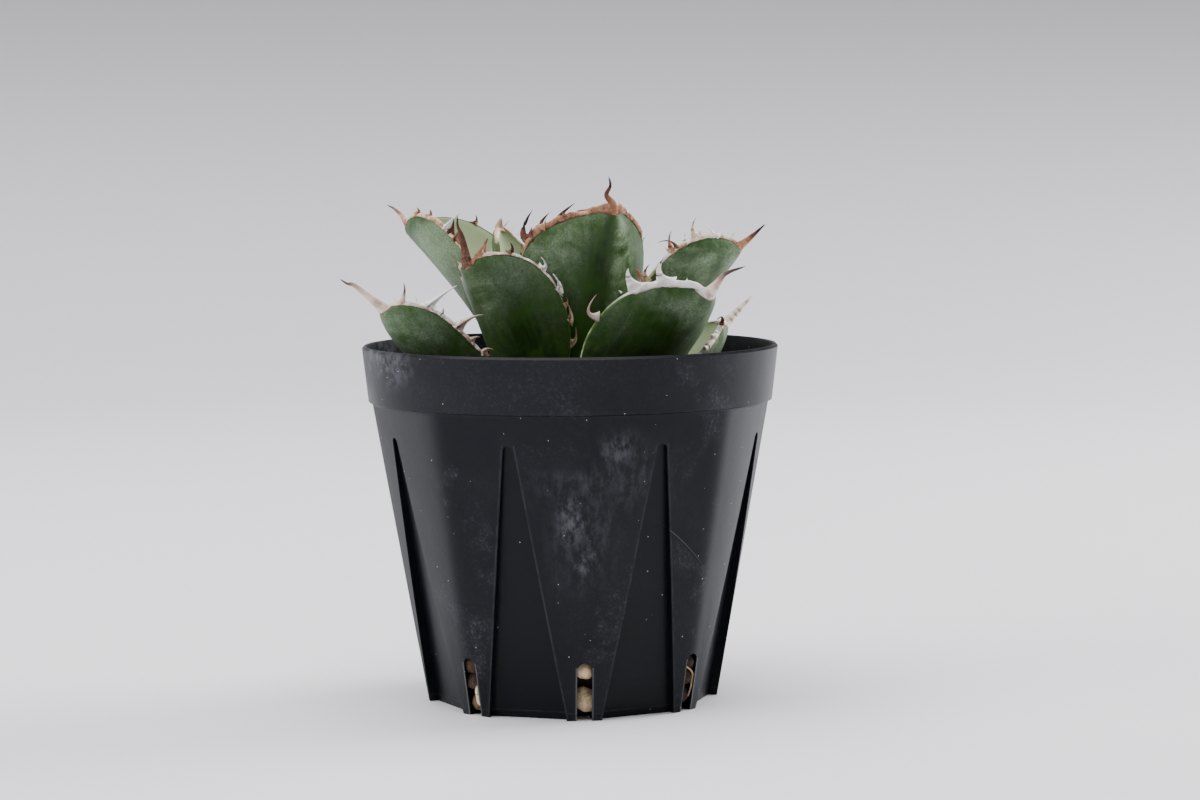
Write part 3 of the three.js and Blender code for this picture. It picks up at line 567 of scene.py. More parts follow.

# %% [markdown]
# ## The plant's measures
# Each row describes one leaf, just as the part's source does: which way it heads, where its
# midrib starts and ends, how wide, thick and cupped it is, and every tooth that the photograph
# shows, as its side, its place along the edge, its length, its lean and its hook. Sides in ruled
# can't be seen, and get teeth by a rule.
#
# Extra columns here only steer the looks. wax_and_light is how grey the leaf's wax is, which on
# some leaves also paints them paler where their side catches the light, and keel how blunt its back
# is. clouds are patches of thicker or thinner wax, and on front_inner also a painted highlight
# right of the keel and painted shade left of it: their middle across and along, their reach each
# way, how much. tone runs from chalk-white horn at 0 to brown at 1, and ripe adds brown near the
# tip. crust is where the thick band starts on the left and on the right, how far it stands out and
# how far it laps over the blade. A tooth ends with its tone and how dark its point is, and may add
# how stout it is, how far it leans out of the blade and how far it bows. spine_looks is the end
# spine's tone, darkness and stoutness. pinch narrows the left half of a blade's end, and splinters
# is how many there are where the usual dozen would be too many.

# %% The leaves, lengths in millimetres
LEAVES = [
    dict(name="front_right_low", heading=52, foot=(9.0, 63.2), tip=(34.7, 89.0), bow=-0.01,
         half=15.7, widest=0.48, waist=0.50, thick=4.0, cup=0.58, roll=-10, band=0.2,
         spine=[(3, 0.1, 0), (6.1, 0.2, -0.1), (10.6, -1.6, 0.9)], spine_root=1.9, ruled=[1],
         teeth=[(-1, 0.56, 5.4, 52, -0.5, 0.28, 0.1, 0.75),
                (-1, 0.81, 5.8, 36, 0.1, 0.02, 0.1, 2.0, 18),
                (-1, 0.925, 9.4, 52, 0.1, 0.02, 0.1, 1.0, 34),
                (-1, 0.985, 1.8, 40, 0, 0.05, 0.0, 1.5)],
         wax_and_light=0.34, tone=0.00, crust=(0.80, 0.94, 0.95, 1.1), spine_looks=(0.30, 0.80, 1.40),
         clouds=[(-0.1, 0.95, 0.8, 0.25, 0.35), (0.5, 0.7, 0.4, 0.5, 0.25),
                 (-0.3, 0.3, 0.6, 0.5, -0.4)]),
    dict(name="front_left_mid", heading=-55, foot=(10.7, 64.4), tip=(28.0, 95.2), bow=-0.12,
         half=10.6, widest=0.50, waist=0.54, thick=3.5, cup=0.73, roll=21, band=0.2,
         spine=[(5.3, 2.9, 2.8), (7.8, 3.8, 3.6), (9.8, 5.1, 4.9)], spine_root=1.7, ruled=[-1],
         teeth=[(1, 0.98, 3.9, 20, 0.3, 0.72, 0.3, 1.3), (1, 0.88, 2.4, 55, 0, 1.00, 2.2, 1.2),
                (1, 0.72, 2.6, 62, -0.5, 0.02, 0.0, 1.3),
                (1, 0.58, 4.2, 84, 0.1, 0.05, 0.0, 1.3, 10, 0.28),
                (1, 0.50, 1.6, 60, 0, 0.60, 0.2), (1, 0.42, 4.1, 80, 0.1, 0.38, 0.2, 1.1, 10, 0.28),
                (1, 0.31, 3.4, 62, -0.2, 0.35, 0.3, 1.0, 0, 0.4)],
         wax_and_light=0.36, tone=0.24, crust=(1.20, 0.62, 0.34, 0.20), spine_looks=(1.00, 0.8, 0.85),
         ripe=0.7, pinch=0.45, splinters=4,
         clouds=[(-0.1, 0.80, 0.7, 0.35, 0.35), (0.3, 0.45, 0.5, 0.5, -0.4)]),
    dict(name="left_low", heading=-71, foot=(9.9, 63.2), tip=(42.2, 86.2), bow=0.05,
         half=8.3, widest=0.67, waist=0.55, thick=4.0, cup=0.51, roll=22, band=0.3,
         spine=[(3.4, -0.6, -0.4), (8.1, -1.0, -1.0), (9.5, -1.8, -1.4), (11.4, -2.1, -1.8)],
         spine_root=1.7, ruled=[-1],
         teeth=[(1, 0.97, 4.4, 48, 0.4, 0.45, 2.4, 0.55), (1, 0.87, 8.0, -6, 0, 0.00, 0.0, 0.65),
                (1, 0.79, 1.4, 37, 0, 0.20, 0.0), (1, 0.67, 6.1, -20, 0, 0.22, 0.1, 0.9),
                (1, 0.56, 2.0, -32, 0, 0.35, 0.3, 1.4), (1, 0.45, 2.2, -33, 0.4, 0.35, 0.2, 1.6)],
         wax_and_light=0.42, tone=0.30, crust=(0.90, 0.50, 0.30, 0.16), spine_looks=(0.36, 0.75, 1.15),
         clouds=[(0.0, 0.9, 0.8, 0.3, 0.2), (0.3, 0.4, 0.8, 0.4, -0.3)]),
    dict(name="right_back_low", heading=113, foot=(9.6, 62.9), tip=(37.8, 80.3), bow=0.11,
         half=9.8, widest=0.58, waist=0.50, thick=4.0, cup=0.47, roll=-4, band=0.3,
         spine=[(4.1, -1.2, -0.5), (9.3, -2.4, -1.0)], spine_root=1.4, ruled=[1],
         teeth=[(-1, 0.95, 4.6, -14, 0.6, 0.90, 4.0, 0.5), (-1, 0.82, 2.6, -16, 0, 0.10, 0.1),
                (-1, 0.70, 2.4, -18, 0, 0.15, 0.2)],
         wax_and_light=1.6, tone=0.20, crust=(0.50, 0.70, 0.45, 0.3), spine_looks=(0.24, 0.10, 2.2)),
    dict(name="back_low", heading=-168, foot=(9.6, 63.0), tip=(36.0, 84.5), bow=0.08,
         half=10.5, widest=0.60, waist=0.50, thick=3.8, cup=0.45, roll=0, band=0.3,
         spine=[(4.5, -0.6, 0.3), (9.0, -2.0, 0.9)], spine_root=1.6, ruled=[-1, 1], teeth=[],
         wax_and_light=0.50, tone=0.15, crust=(0.60, 0.66, 0.9, 1.0), spine_looks=(0.3, 0.9, 1.2)),
    dict(name="front_inner", heading=36, foot=(2.4, 69.9), tip=(13.9, 105.8), bow=-0.02,
         half=15.5, widest=0.53, waist=0.50, thick=4.4, cup=0.56, roll=-8, band=0.25,
         end=(3.0, 1.1),
         spine=[(1.8, 0.3, -0.4), (3.4, 1.2, -1.9), (5.6, 1.1, -1.6), (7.6, 1.6, -2.3)],
         spine_root=1.6, ruled=[],
         teeth=[(-1, 0.97, 3.0, -15, 0, 0.70, 0.3, 1.2), (-1, 0.90, 4.8, 112, -0.3, 0.80, 0.9, 1.5),
                (-1, 0.83, 3.9, 98, -0.2, 0.62, 0.9, 1.6),
                (-1, 0.765, 6.4, 80, -0.3, 1.10, 3.0, 1.7),
                (1, 0.96, 1.8, 10, 0, 0.9, 0.6, 1.4), (1, 0.90, 1.8, 30, 0, 0.7, 0.3, 1.4),
                (1, 0.80, 2.2, 22, 0, 0.4, 0.2, 1.2)],
         wax_and_light=0.40, keel=0.9, tone=0.66, crust=(0.72, 0.78, 1.20, 0.30),
         spine_looks=(0.74, 1.3, 1.25),
         # Its first two clouds paint a highlight on the right of the keel and shade on the left.
         clouds=[(0.30, 0.75, 0.34, 0.6, 1.3), (-0.16, 0.75, 0.26, 0.5, -0.45),
                 (-0.7, 0.7, 0.4, 0.4, 0.3), (0.0, 0.2, 0.9, 0.3, -0.3)]),
    dict(name="right_mid", heading=85, foot=(7.6, 67.1), tip=(36.2, 98.2), bow=-0.03,
         half=15.0, widest=0.62, waist=0.50, thick=3.4, cup=0.47, roll=-16, band=0.3,
         spine=[(3.5, -0.2, 0.1), (7.7, -0.1, 0)], spine_root=1.8, ruled=[1],
         teeth=[(-1, 0.77, 4.9, -28, 0.2, 0.95, 2.4, 0.35),
                (-1, 0.74, 5.0, 40, 0.2, 0.70, 0.9, 0.6),
                (-1, 0.87, 5.0, 40, 0, 0.40, 0.1, 0.8), (-1, 0.95, 2.7, 0, 0, 0.0, 0.0, 0.7),
                (-1, 0.82, 1.8, 37, 0, 0.0, 0.0), (-1, 0.55, 4.2, 56, 0.2, 0.50, 0.3, 1.4),
                (-1, 0.53, 5.2, 18, 0.3, 0.55, 0.2, 1.3)],
         wax_and_light=0.70, tone=0.36, ripe=0.3, crust=(0.72, 0.90, 0.42, 0.20),
         spine_looks=(0.62, 1.3, 1.20),
         clouds=[(-0.2, 0.9, 0.7, 0.3, 0.25)]),
    dict(name="left_mid", heading=-119, foot=(7.3, 65.3), tip=(38.7, 102.5), bow=-0.07,
         half=13.0, widest=0.61, waist=0.48, thick=3.0, cup=0.80, roll=5, band=0.3,
         spine=[(3.0, 1.1, -0.3), (5.5, 1.3, -0.3), (7.4, 1.0, -0.2)], spine_root=1.5,
         ruled=[],
         teeth=[(1, 0.87, 1.8, 26, 0, 0.7, 0.8, 1.3), (1, 0.775, 9.4, -18, -0.1, 0.00, 0.0, 0.30),
                (1, 0.74, 4.2, 13, 0, 1.00, 2.4, 0.9), (1, 0.70, 3.2, -5, 0.3, 0.75, 0.2, 1.3),
                (1, 0.94, 1.6, 40, 0, 0.7, 0.5, 1.3), (-1, 0.84, 2.2, 45, 0, 0.8, 1.4, 0.9),
                (-1, 0.62, 2.0, 40, 0, 0.5, 0.8, 0.8)],
         wax_and_light=0.64, tone=0.42, crust=(0.98, 0.68, 0.40, 0.20), spine_looks=(0.48, 0.8, 0.95),
         clouds=[(0.3, 0.8, 0.6, 0.3, 0.2)]),
    dict(name="back_mid", heading=166, foot=(7.8, 66.8), tip=(27.5, 97.5), bow=0.02,
         half=9.6, widest=0.58, waist=0.50, thick=3.4, cup=0.45, roll=0, band=0.3,
         spine=[(4.0, 0.4, 0.3), (8.0, -0.5, 0.9)], spine_root=1.6, ruled=[-1, 1], teeth=[],
         wax_and_light=0.55, tone=0.30, crust=(0.60, 0.64, 0.7, 0.7), spine_looks=(0.6, 1.0, 1.2)),
    dict(name="back_left_inner", heading=-136, foot=(5.0, 72.2), tip=(20.1, 101.7), bow=0.04,
         half=5.4, widest=0.58, waist=0.60, thick=3.2, cup=0.51, roll=1, band=0.35,
         spine=[(1.2, 0.4, -0.3), (2.4, 1.0, -0.8)], spine_root=1.2, ruled=[], teeth=[],
         wax_and_light=0.90, tone=0.42, crust=(0.80, 0.97, 0.30, 0.15), spine_looks=(0.46, 0.0, 2.2)),
    dict(name="right_inner", heading=120, foot=(4.6, 71.5), tip=(15.5, 97.5), bow=0.03,
         half=7.4, widest=0.58, waist=0.55, thick=2.8, cup=0.50, roll=0, band=0.35,
         spine=[(3.5, 0.4, 0.3), (6.5, 0.2, 0.5)], spine_root=1.3, ruled=[-1, 1], teeth=[],
         wax_and_light=0.50, tone=0.45, crust=(0.60, 0.66, 0.4, 0.25), spine_looks=(0.7, 1.1, 1.2)),
    dict(name="left_inner", heading=-62, foot=(4.4, 72.5), tip=(11.5, 93.0), bow=0.03,
         half=5.2, widest=0.58, waist=0.60, thick=2.4, cup=0.50, roll=0, band=0.35,
         spine=[(2.5, 0.4, 0.3), (4.5, 0.4, 0.5)], spine_root=1.1, ruled=[-1, 1], teeth=[],
         wax_and_light=0.50, tone=0.45, crust=(0.60, 0.64, 0.35, 0.2), spine_looks=(0.7, 1.1, 1.2)),
]
print("leaves:", len(LEAVES), "teeth named one by one:", sum(len(row["teeth"]) for row in LEAVES))

# %% [markdown]
# ## The leaf's form
# A leaf is a fleshy blade, cupped like a spoon, with a keel along its back. A sculpted copy of
# each would be a lot of hand work, so one set of rules bends them all: a curved midrib, a width
# at every place along it, a cup across it and a thickness under it. The same rules made the
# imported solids, so the fine leaves land on them.

# %% Rules of the leaf
EDGE_THICKNESS = 1.2                  # in millimetres, like all of the leaf
TIP_RATIO = 0.10                      # the tip's width for a width of 1 at the widest place
BLADE_INSET = 0.2
UP = Vector((0, 0, 1))


def facing(turn):
    """The directions outwards and sideways at a turn in degrees from the front."""
    turn = math.radians(turn)
    return (Vector((math.sin(turn), -math.cos(turn), 0)),
            Vector((math.cos(turn), math.sin(turn), 0)))


def straight_length(leaf):
    return (Vector(leaf["tip"]) - Vector(leaf["foot"])).length


def half_width(leaf, s):
    if s < leaf["widest"]:
        rise = math.sin(math.pi / 2 * s / leaf["widest"])
        return leaf["half"] * (leaf["waist"] + (1 - leaf["waist"]) * rise)
    x = min(1, (s - leaf["widest"]) / (1 - leaf["widest"]))
    fullness, roundness = leaf.get("end", (2.3, 0.72))
    return leaf["half"] * (TIP_RATIO + (1 - TIP_RATIO) * (1 - x ** fullness) ** roundness)


def station(leaf, s):
    """The midrib at s, with the leaf's directions there: along, above and across."""
    roll = math.radians(leaf["roll"])
    outward, side = facing(leaf["heading"])
    foot, tip = Vector(leaf["foot"]), Vector(leaf["tip"])
    chord = tip - foot
    middle = (foot + tip) / 2 + 2 * leaf["bow"] * Vector((chord.y, -chord.x))
    spot = (1 - s) ** 2 * foot + 2 * s * (1 - s) * middle + s * s * tip
    run = ((1 - s) * (middle - foot) + s * (tip - middle)).normalized()
    along = outward * run.x + UP * run.y
    flat = UP * run.x - outward * run.y
    across = side * math.cos(roll) + flat * math.sin(roll)
    above = flat * math.cos(roll) - side * math.sin(roll)
    return outward * spot.x + UP * spot.y, along, above, across


def upper_face(leaf, s, u):
    """A place on the upper face, u from -1 to 1 across it, and the direction square to it."""
    point, along, above, across = station(leaf, s)
    cup = leaf["cup"] * (0.35 + 0.65 * s)
    width = half_width(leaf, s) - BLADE_INSET
    if u < 0:
        width *= 1 - leaf.get("pinch", 0) * min(1, max(0, (s - 0.8) / 0.2))
    point = point + across * (width * u) + above * (cup * width * u * u)
    return point, (above - across * (2 * cup * u)).normalized(), along


def thickness(leaf, s, u):
    taper = min(1, 0.55 + 1.5 * s) * (1 - 0.55 * s ** 1.6)
    flesh = leaf["thick"] * taper * math.sqrt(half_width(leaf, s) / leaf["half"])
    return EDGE_THICKNESS + flesh * (1 - abs(u) ** leaf.get("keel", 1.7))


def wax_and_light_at(leaf, s, u):
    """How thick the wax is at s and u, with the leaf's own clouds, some of which are painted
    highlight and shade.
    """
    waxiness_and_light = leaf["wax_and_light"]
    for across, along, wide, long, amount in leaf.get("clouds", []):
        away = math.hypot((u - across) / wide, (s - along) / long)
        waxiness_and_light += amount * max(0, 1 - away * away) ** 2
    return max(0, waxiness_and_light)


def skin(leaf, s, u, below):
    """A place on the finished blade's skin, with soft rims and faint swellings."""
    s, u = min(1, max(0, s)), min(1, max(-1, u))
    point, square, along = upper_face(leaf, s, u)
    rim = max(0, (abs(u) - 0.93) / 0.07, (s - 0.985) / 0.015)
    swell = 0.10 * wobble(point, 9, leaf["heading"]) + 0.04 * wobble(point, 3)
    if below:
        point = point - square * (thickness(leaf, s, u) - 0.3 * rim ** 2 - swell)
    else:
        point = point - square * (0.3 * rim ** 2 - swell)
    return point, square, along

# %% [markdown]
# ### The leaf's skin
# A leaf of this kind is deep green under a grey wax that has been rubbed into clouds. The wax is
# thickest near the tip, fine veins run along the blade, and the foot is a clearer yellow-green.
# The corners of each blade carry their own place on it, so the pattern follows the bend. Upper
# faces are painted paler as light from above, and some of the wax stands in for highlight and
# shade.

# %% Mix the leaf's skin
leaf_skin = start_finish("leaf_skin")
places = object_places()
leaf_place = carried("leaf_place", "Vector")
share = apart(leaf_place)[2]
wax_and_light = carried("wax_and_light")
lit_upper_face = carried("upper")

clouds = grain(places, 95, 7, 0.62, 0.6)
mottle = grain(places, 520, 4, 0.65)
frost = grain(places, 2400, 3, 0.7)
veins = grain(stretched(leaf_place, (1100, 45, 0)), 1.0, 3, 0.5)
green = blend(span(share, 0.15, 0.85), (0.027, 0.086, 0.003), (0.016, 0.047, 0.006))
green = blend(span(clouds, 0.40, 0.60), green, (0.006, 0.023, 0.003))
green = blend(times(span(veins, 0.40, 0.75), 0.35), green, (0.042, 0.100, 0.010))
waxiness_and_light = times(span(clouds, 0.34, 0.66), span(times_plus(mottle, 0.45, share), 0.35, 1.10))
waxiness_and_light = times_plus(span(mottle, 0.45, 0.70), 0.20, waxiness_and_light)
waxiness_and_light = times(waxiness_and_light, times_plus(span(frost, 0.3, 0.7), 0.8, 0.6))
# The per-leaf amount also brings in the painted highlight and shade that some leaves carry.
waxiness_and_light = times(waxiness_and_light, wax_and_light)
green = blend(waxiness_and_light, green, (0.200, 0.272, 0.165))
# Upper faces are painted much paler: painted light from above.
green = blend(times(lit_upper_face, 0.85), green, (0.340, 0.410, 0.235))
rim_line = span(math_of("ABSOLUTE", carried("edge")), 0.975, 0.995)
green = blend(times(rim_line, 0.5), green, (0.120, 0.210, 0.050))
wire(shader.inputs["Base Color"], green)
wire(shader.inputs["Roughness"], times_plus(waxiness_and_light, 0.25, 0.45))
shader.inputs["IOR"].default_value = 1.42
shader.inputs["Specular IOR Level"].default_value = 0.26
shader.inputs["Sheen Weight"].default_value = 0.04
shader.inputs["Sheen Roughness"].default_value = 0.5
coat = relief(mottle, 0.00007, 0.5)
coat = relief(veins, 0.00008, 0.5, coat)
wire(shader.inputs["Normal"], relief(clouds, 0.0006, 0.30, coat))

# %% [markdown]
# ### Blades
# A blade is a grid whose faces are extruded into a thin slab; every corner of the slab is then
# moved to its place on the leaf. Grid lines crowd towards the tip and the edges, where the shape
# turns fastest.

# %% Make the blades
BLADE_ACROSS, BLADE_ALONG = 30, 44


def make_blade(leaf):
    bm = bmesh.new()
    leaf_place = bm.verts.layers.float_vector.new("leaf_place")
    layers = {key: bm.verts.layers.float.new(key) for key in ("wax_and_light", "upper", "edge")}
    bmesh.ops.create_grid(bm, x_segments=BLADE_ACROSS, y_segments=BLADE_ALONG, size=1)
    slab = bmesh.ops.extrude_face_region(bm, geom=bm.faces[:], use_keep_orig=True)["geom"]
    below = {g for g in slab if isinstance(g, bmesh.types.BMVert)}
    length = straight_length(leaf)
    for corner in bm.verts:
        u = math.sin(math.pi / 2 * corner.co.x)
        s = 1 - (1 - (corner.co.y + 1) / 2) ** 1.5
        under = corner in below
        point, square, along = skin(leaf, s, u, under)
        if s < 1e-6:
            point = point - along * 2
        corner[leaf_place] = Vector((u * half_width(leaf, s), s * length, s * 1000)) * MM
        corner[layers["wax_and_light"]] = wax_and_light_at(leaf, s, u)
        corner[layers["upper"]] = 0.0 if under else 1.0
        corner[layers["edge"]] = abs(u)
        corner.co = point * MM
    bmesh.ops.recalc_face_normals(bm, faces=bm.faces)
    return add_piece("blade_" + leaf["name"], bm, leaf_skin, "leaf", ["leaf_" + leaf["name"]])


for leaf in LEAVES:
    blade = make_blade(leaf)
    print(blade.name, [round(v * 1000, 1) for v in blade.dimensions], "mm")

# %% [markdown]
# ## The horn
# The edge of each leaf dries into a corky band, chalk-white on old leaves and tan on young ones,
# and the band carries teeth and one long end spine whose points are almost black. The horn's
# corners carry how far they are from the root, how brown the horn is, how dark its point is, how
# green its foot still is and where the dark seam against the blade runs. Across the band that
# brownness also holds painted light: paler on the upper crust and lip, browner on the skirt. The
# finish reads these, and lets its stains fade towards a point, which is smooth on the real plant.

# %% Mix the horn
horn = start_finish("horn")
places = object_places()
towards_tip = carried("towards_tip")
tone = carried("tone")
darkness = carried("darkness")
fresh = carried("fresh")
seam = carried("seam")

stains = grain(places, 420, 6, 0.65, 0.5)
fibres = grain(places, 2300, 4, 0.7)
streaked = grain(places, 950, 5, 0.7, 1.2)
spots = times_plus(stains, 1.35, -0.675)
spots = math_of("ADD", spots, times_plus(streaked, 0.70, -0.35))
spots = times(spots, span(towards_tip, 0.05, 0.30, 1.0, 0.35))
# With age the horn goes from chalk white through tan and red-brown to nearly black.
age = math_of("ADD", tone, spots)
colour = blend(span(age, 0.05, 0.32), (0.94, 0.91, 0.87), (0.66, 0.51, 0.40))
colour = blend(span(age, 0.34, 0.62), colour, (0.36, 0.165, 0.085))
colour = blend(span(age, 0.64, 0.95), colour, (0.085, 0.030, 0.016))
dots = span(grain(places, 1500, 2, 0.5), 0.69, 0.75)
dots = times(dots, span(towards_tip, 0.05, 0.30, 0.6, 0.15))
colour = blend(dots, colour, (0.085, 0.045, 0.030))
pale = times(span(fibres, 0.45, 0.7), span(towards_tip, 0.05, 0.30, 0.22, 0.05))
colour = blend(pale, colour, (0.80, 0.70, 0.62))
reach = times_plus(stains, 0.25, towards_tip)
ripe = times(span(reach, 0.34, 0.84), darkness)
colour = blend(ripe, colour, (0.110, 0.036, 0.022))
point_dark = times(span(reach, 0.62, 0.95), darkness)
colour = blend(point_dark, colour, (0.016, 0.010, 0.014))
colour = blend(times(fresh, 0.9), colour, (0.085, 0.155, 0.034))
colour = blend(times(seam, 0.85), colour, (0.120, 0.042, 0.020))
wire(shader.inputs["Base Color"], colour)
wire(shader.inputs["Roughness"], span(towards_tip, 0.2, 0.9, 0.75, 0.38))
shader.inputs["IOR"].default_value = 1.5
shader.inputs["Specular IOR Level"].default_value = 0.3
crust = relief(less(1.0, stains), 0.0006, 0.7)
wire(shader.inputs["Normal"], relief(fibres, 0.00014, 0.7, crust))

# %% [markdown]
# ### The margin's band
# The band wraps the blade's edge: a narrow lip on the inner face, a rounded crust outside and a
# thin skirt over the outer face. Its path runs up one edge, round the tip and down the other. At
# even steps on that path a ring of ten corners is placed, roughened a little, and the rings are
# extruded from one to the next.

# %% Helpers for the margin
RING_STEP = 0.5                       # millimetres between rings of the band
# The ten corners of a ring run from the outer face round the edge to the inner face.
# Each corner's shift of tone paints the band's upper crust and lip paler and its skirt browner:
# painted highlight above and painted shade below.
RING_LIGHT_AND_SHADE = (0.2, 0.2, 0.15, 0.05, 0, -0.15, -0.35, -0.35, -0.2, 0)
LAYERS = ("towards_tip", "tone", "darkness", "fresh", "seam")


def edge_path(leaf):
    """Even steps along the edge: (s, u, place, square, outward direction)."""
    rise = [leaf["band"] + (1 - leaf["band"]) * (1 - (1 - i / 60) ** 2) for i in range(61)]
    route = [(s, -1) for s in rise] + [(1, u / 4) for u in range(-3, 4)]
    route += [(s, 1) for s in reversed(rise)]
    spots = [upper_face(leaf, s, u)[0] for s, u in route]
    lengths = [0.0]
    for first, second in zip(spots, spots[1:]):
        lengths.append(lengths[-1] + (second - first).length)
    count = max(12, round(lengths[-1] / RING_STEP))
    path, i = [], 0
    for k in range(count + 1):
        goal = lengths[-1] * k / count
        while i < len(lengths) - 2 and lengths[i + 1] < goal:
            i += 1
        part = (goal - lengths[i]) / max(1e-9, lengths[i + 1] - lengths[i])
        s, u = (a + (b - a) * min(1, part) for a, b in zip(route[i], route[i + 1]))
        point, square, along = upper_face(leaf, s, u)
        path.append((s, u, point, square))
    result = []
    for k, (s, u, point, square) in enumerate(path):
        before, after = path[max(0, k - 2)][2], path[min(count, k + 2)][2]
        out = (after - before).cross(square).normalized()
        middle = upper_face(leaf, s * 0.9, 0)[0]
        result.append((s, u, point, square, out if out.dot(point - middle) > 0 else -out))
    return result


def set_layers(bm, corners, **values):
    for key, value in values.items():
        layer = bm.verts.layers.float[key]
        for i, corner in enumerate(corners):
            corner[layer] = value[i] if isinstance(value, list) else value


def fullness_at(leaf, s, u, ahead=0.0):
    """0 where the edge is still thin and green, 1 where its band is fully grown."""
    start = leaf["crust"][0 if u < 0 else 1]
    return min(1, max(0, (s - start + ahead + 0.04) / 0.08))


def band_ring(leaf, step, taper):
    s, u, point, square, out = step
    _, along, _, across = station(leaf, s)
    length = straight_length(leaf)
    seed = leaf["heading"] * 0.37
    stands, laps = leaf["crust"][2:]
    full = fullness_at(leaf, s, u)
    width = (0.12 + stands * full) * max(0.3, 1 + 0.75 * wobble(point, 2.3, seed))
    skirt = 0.08 + laps * full * max(0.1, 0.85 + 1.1 * wobble(point, 2.6, seed + 5))
    lip = 0.10 + 0.45 * full * max(0.1, 0.9 + 1.0 * wobble(point, 2.2, seed + 9))
    height = (0.38 + 0.34 * full + 0.2 * full * wobble(point, 3, seed + 2)) * taper
    width, skirt, lip = width * taper, skirt * taper, lip * taper

    def inwards(distance, below, proud):
        du = -out.dot(across) * distance / max(1.0, half_width(leaf, s))
        ds = -out.dot(along) * distance / length
        spot, face, _ = skin(leaf, s + ds, u + du, below)
        return spot + face * (-proud if below else proud)

    middle = point - square * (EDGE_THICKNESS / 2)
    ring = [inwards(skirt, True, -0.12), inwards(skirt * 0.85, True, 0.10 * taper),
            inwards(skirt * 0.4, True, (0.10 + 0.15 * full) * taper),
            middle - square * (height * 0.95) + out * (0.25 * width),
            middle - square * (height * 0.6) + out * (0.85 * width), middle + out * width,
            middle + square * (height * 0.6) + out * (0.85 * width),
            middle + square * (height * 0.95) + out * (0.2 * width),
            inwards(lip * 0.5, False, 0.16 * taper), inwards(lip, False, -0.1)]
    rough = 0.05 + 0.09 * full
    return [(spot + Vector([wobble(spot, 1.2, seed + i) for i in (1, 2, 3)]) * rough) * MM
            for spot in ring]


def make_band(bm, leaf):
    path = edge_path(leaf)
    rings = []
    for k, step in enumerate(path):
        taper = min(1.0, 0.35 + min(k, len(path) - 1 - k) / 6)
        rings.append(band_ring(leaf, step, taper))
    corners = extrude_rings(bm, rings)
    tip = upper_face(leaf, 1, 0)[0]
    ring_seam = (1, 1, 0.1 + 0.3 * leaf["crust"][3], 0, 0, 0, 0, 0, 0.1, 0.6)
    freshness, seams, tones = [], [], []
    for s, u, point, *_ in path:
        low = 1 - fullness_at(leaf, s, u, 0.06)
        freshness += [low * (0.98 + 0.20 * wobble(point, 3, 11))] * len(ring_seam)
        tone = leaf["tone"] + leaf.get("ripe", 0) * max(0, 1 - (point - tip).length / 5)
        tones += [tone + min(1, leaf["tone"] / 0.6) ** 2 * lift for lift in RING_LIGHT_AND_SHADE]
        seams += [(1 - low) * share for share in ring_seam]
    set_layers(bm, corners, towards_tip=0.0, tone=tones, darkness=0.0, fresh=freshness, seam=seams)

# %% [markdown]
# ### Teeth and end spines
# A tooth flares out of the band, narrows fast and then runs on as a thin hooked point. It is the
# same extruded form with few rings, and its root is sunk into the band, as it grows out of it.
# Teeth on the hidden edges are set by a rule with a seeded draw, the same as in the part's source.

# %% Make teeth and spines
def bent(start, bend, end, t):
    """A place on a curve from start to end that bends towards bend, and the direction there."""
    spot = (1 - t) ** 2 * start + 2 * t * (1 - t) * bend + t * t * end
    return spot, ((1 - t) * (bend - start) + t * (end - bend)).normalized()


def through(points, t):
    """The same for a curve that passes through every point."""
    reach = min(t, 0.9999) * (len(points) - 1)
    i = int(reach)
    t = reach - i
    p = [points[min(len(points) - 1, max(0, i + k))] for k in (-1, 0, 1, 2)]
    if i == 0:
        p[0] = 2 * points[0] - points[1]
    if i == len(points) - 2:
        p[3] = 2 * points[-1] - points[-2]
    spot = 0.5 * (2 * p[1] + (p[2] - p[0]) * t + (2 * p[0] - 5 * p[1] + 4 * p[2] - p[3]) * t ** 2
                  + (3 * p[1] - p[0] - 3 * p[2] + p[3]) * t ** 3)
    ahead = 0.5 * ((p[2] - p[0]) + 2 * t * (2 * p[0] - 5 * p[1] + 4 * p[2] - p[3])
                   + 3 * t * t * (3 * p[1] - p[0] - 3 * p[2] + p[3]))
    return spot, ahead.normalized()


def thorn(bm, curve, sideways, wide, thin, steps, sides, **values):
    """Extrudes rings along curve(t), their half-sizes given by wide(t) and thin(t)."""
    rings, reach = [], []
    for k in range(steps + 1):
        t = (k / steps) ** 1.25
        spot, ahead = curve(t)
        flat = sideways.cross(ahead).normalized()
        broad = ahead.cross(flat).normalized()
        ring = []
        for i in range(sides):
            angle = 2 * math.pi * i / sides
            corner = spot + broad * (wide(t) * math.cos(angle)) + flat * (thin(t) * math.sin(angle))
            rough = 0.12 * (1 - t) ** 1.5 + 0.015
            ring.append((corner + ahead * wobble(corner, 1.1) * rough
                         + flat * wobble(corner, 0.9, 4) * rough) * MM)
        rings.append(ring)
        reach += [t] * sides
    corners = extrude_rings(bm, rings, to_point=True)
    set_layers(bm, corners, towards_tip=reach[:len(corners)], **values)


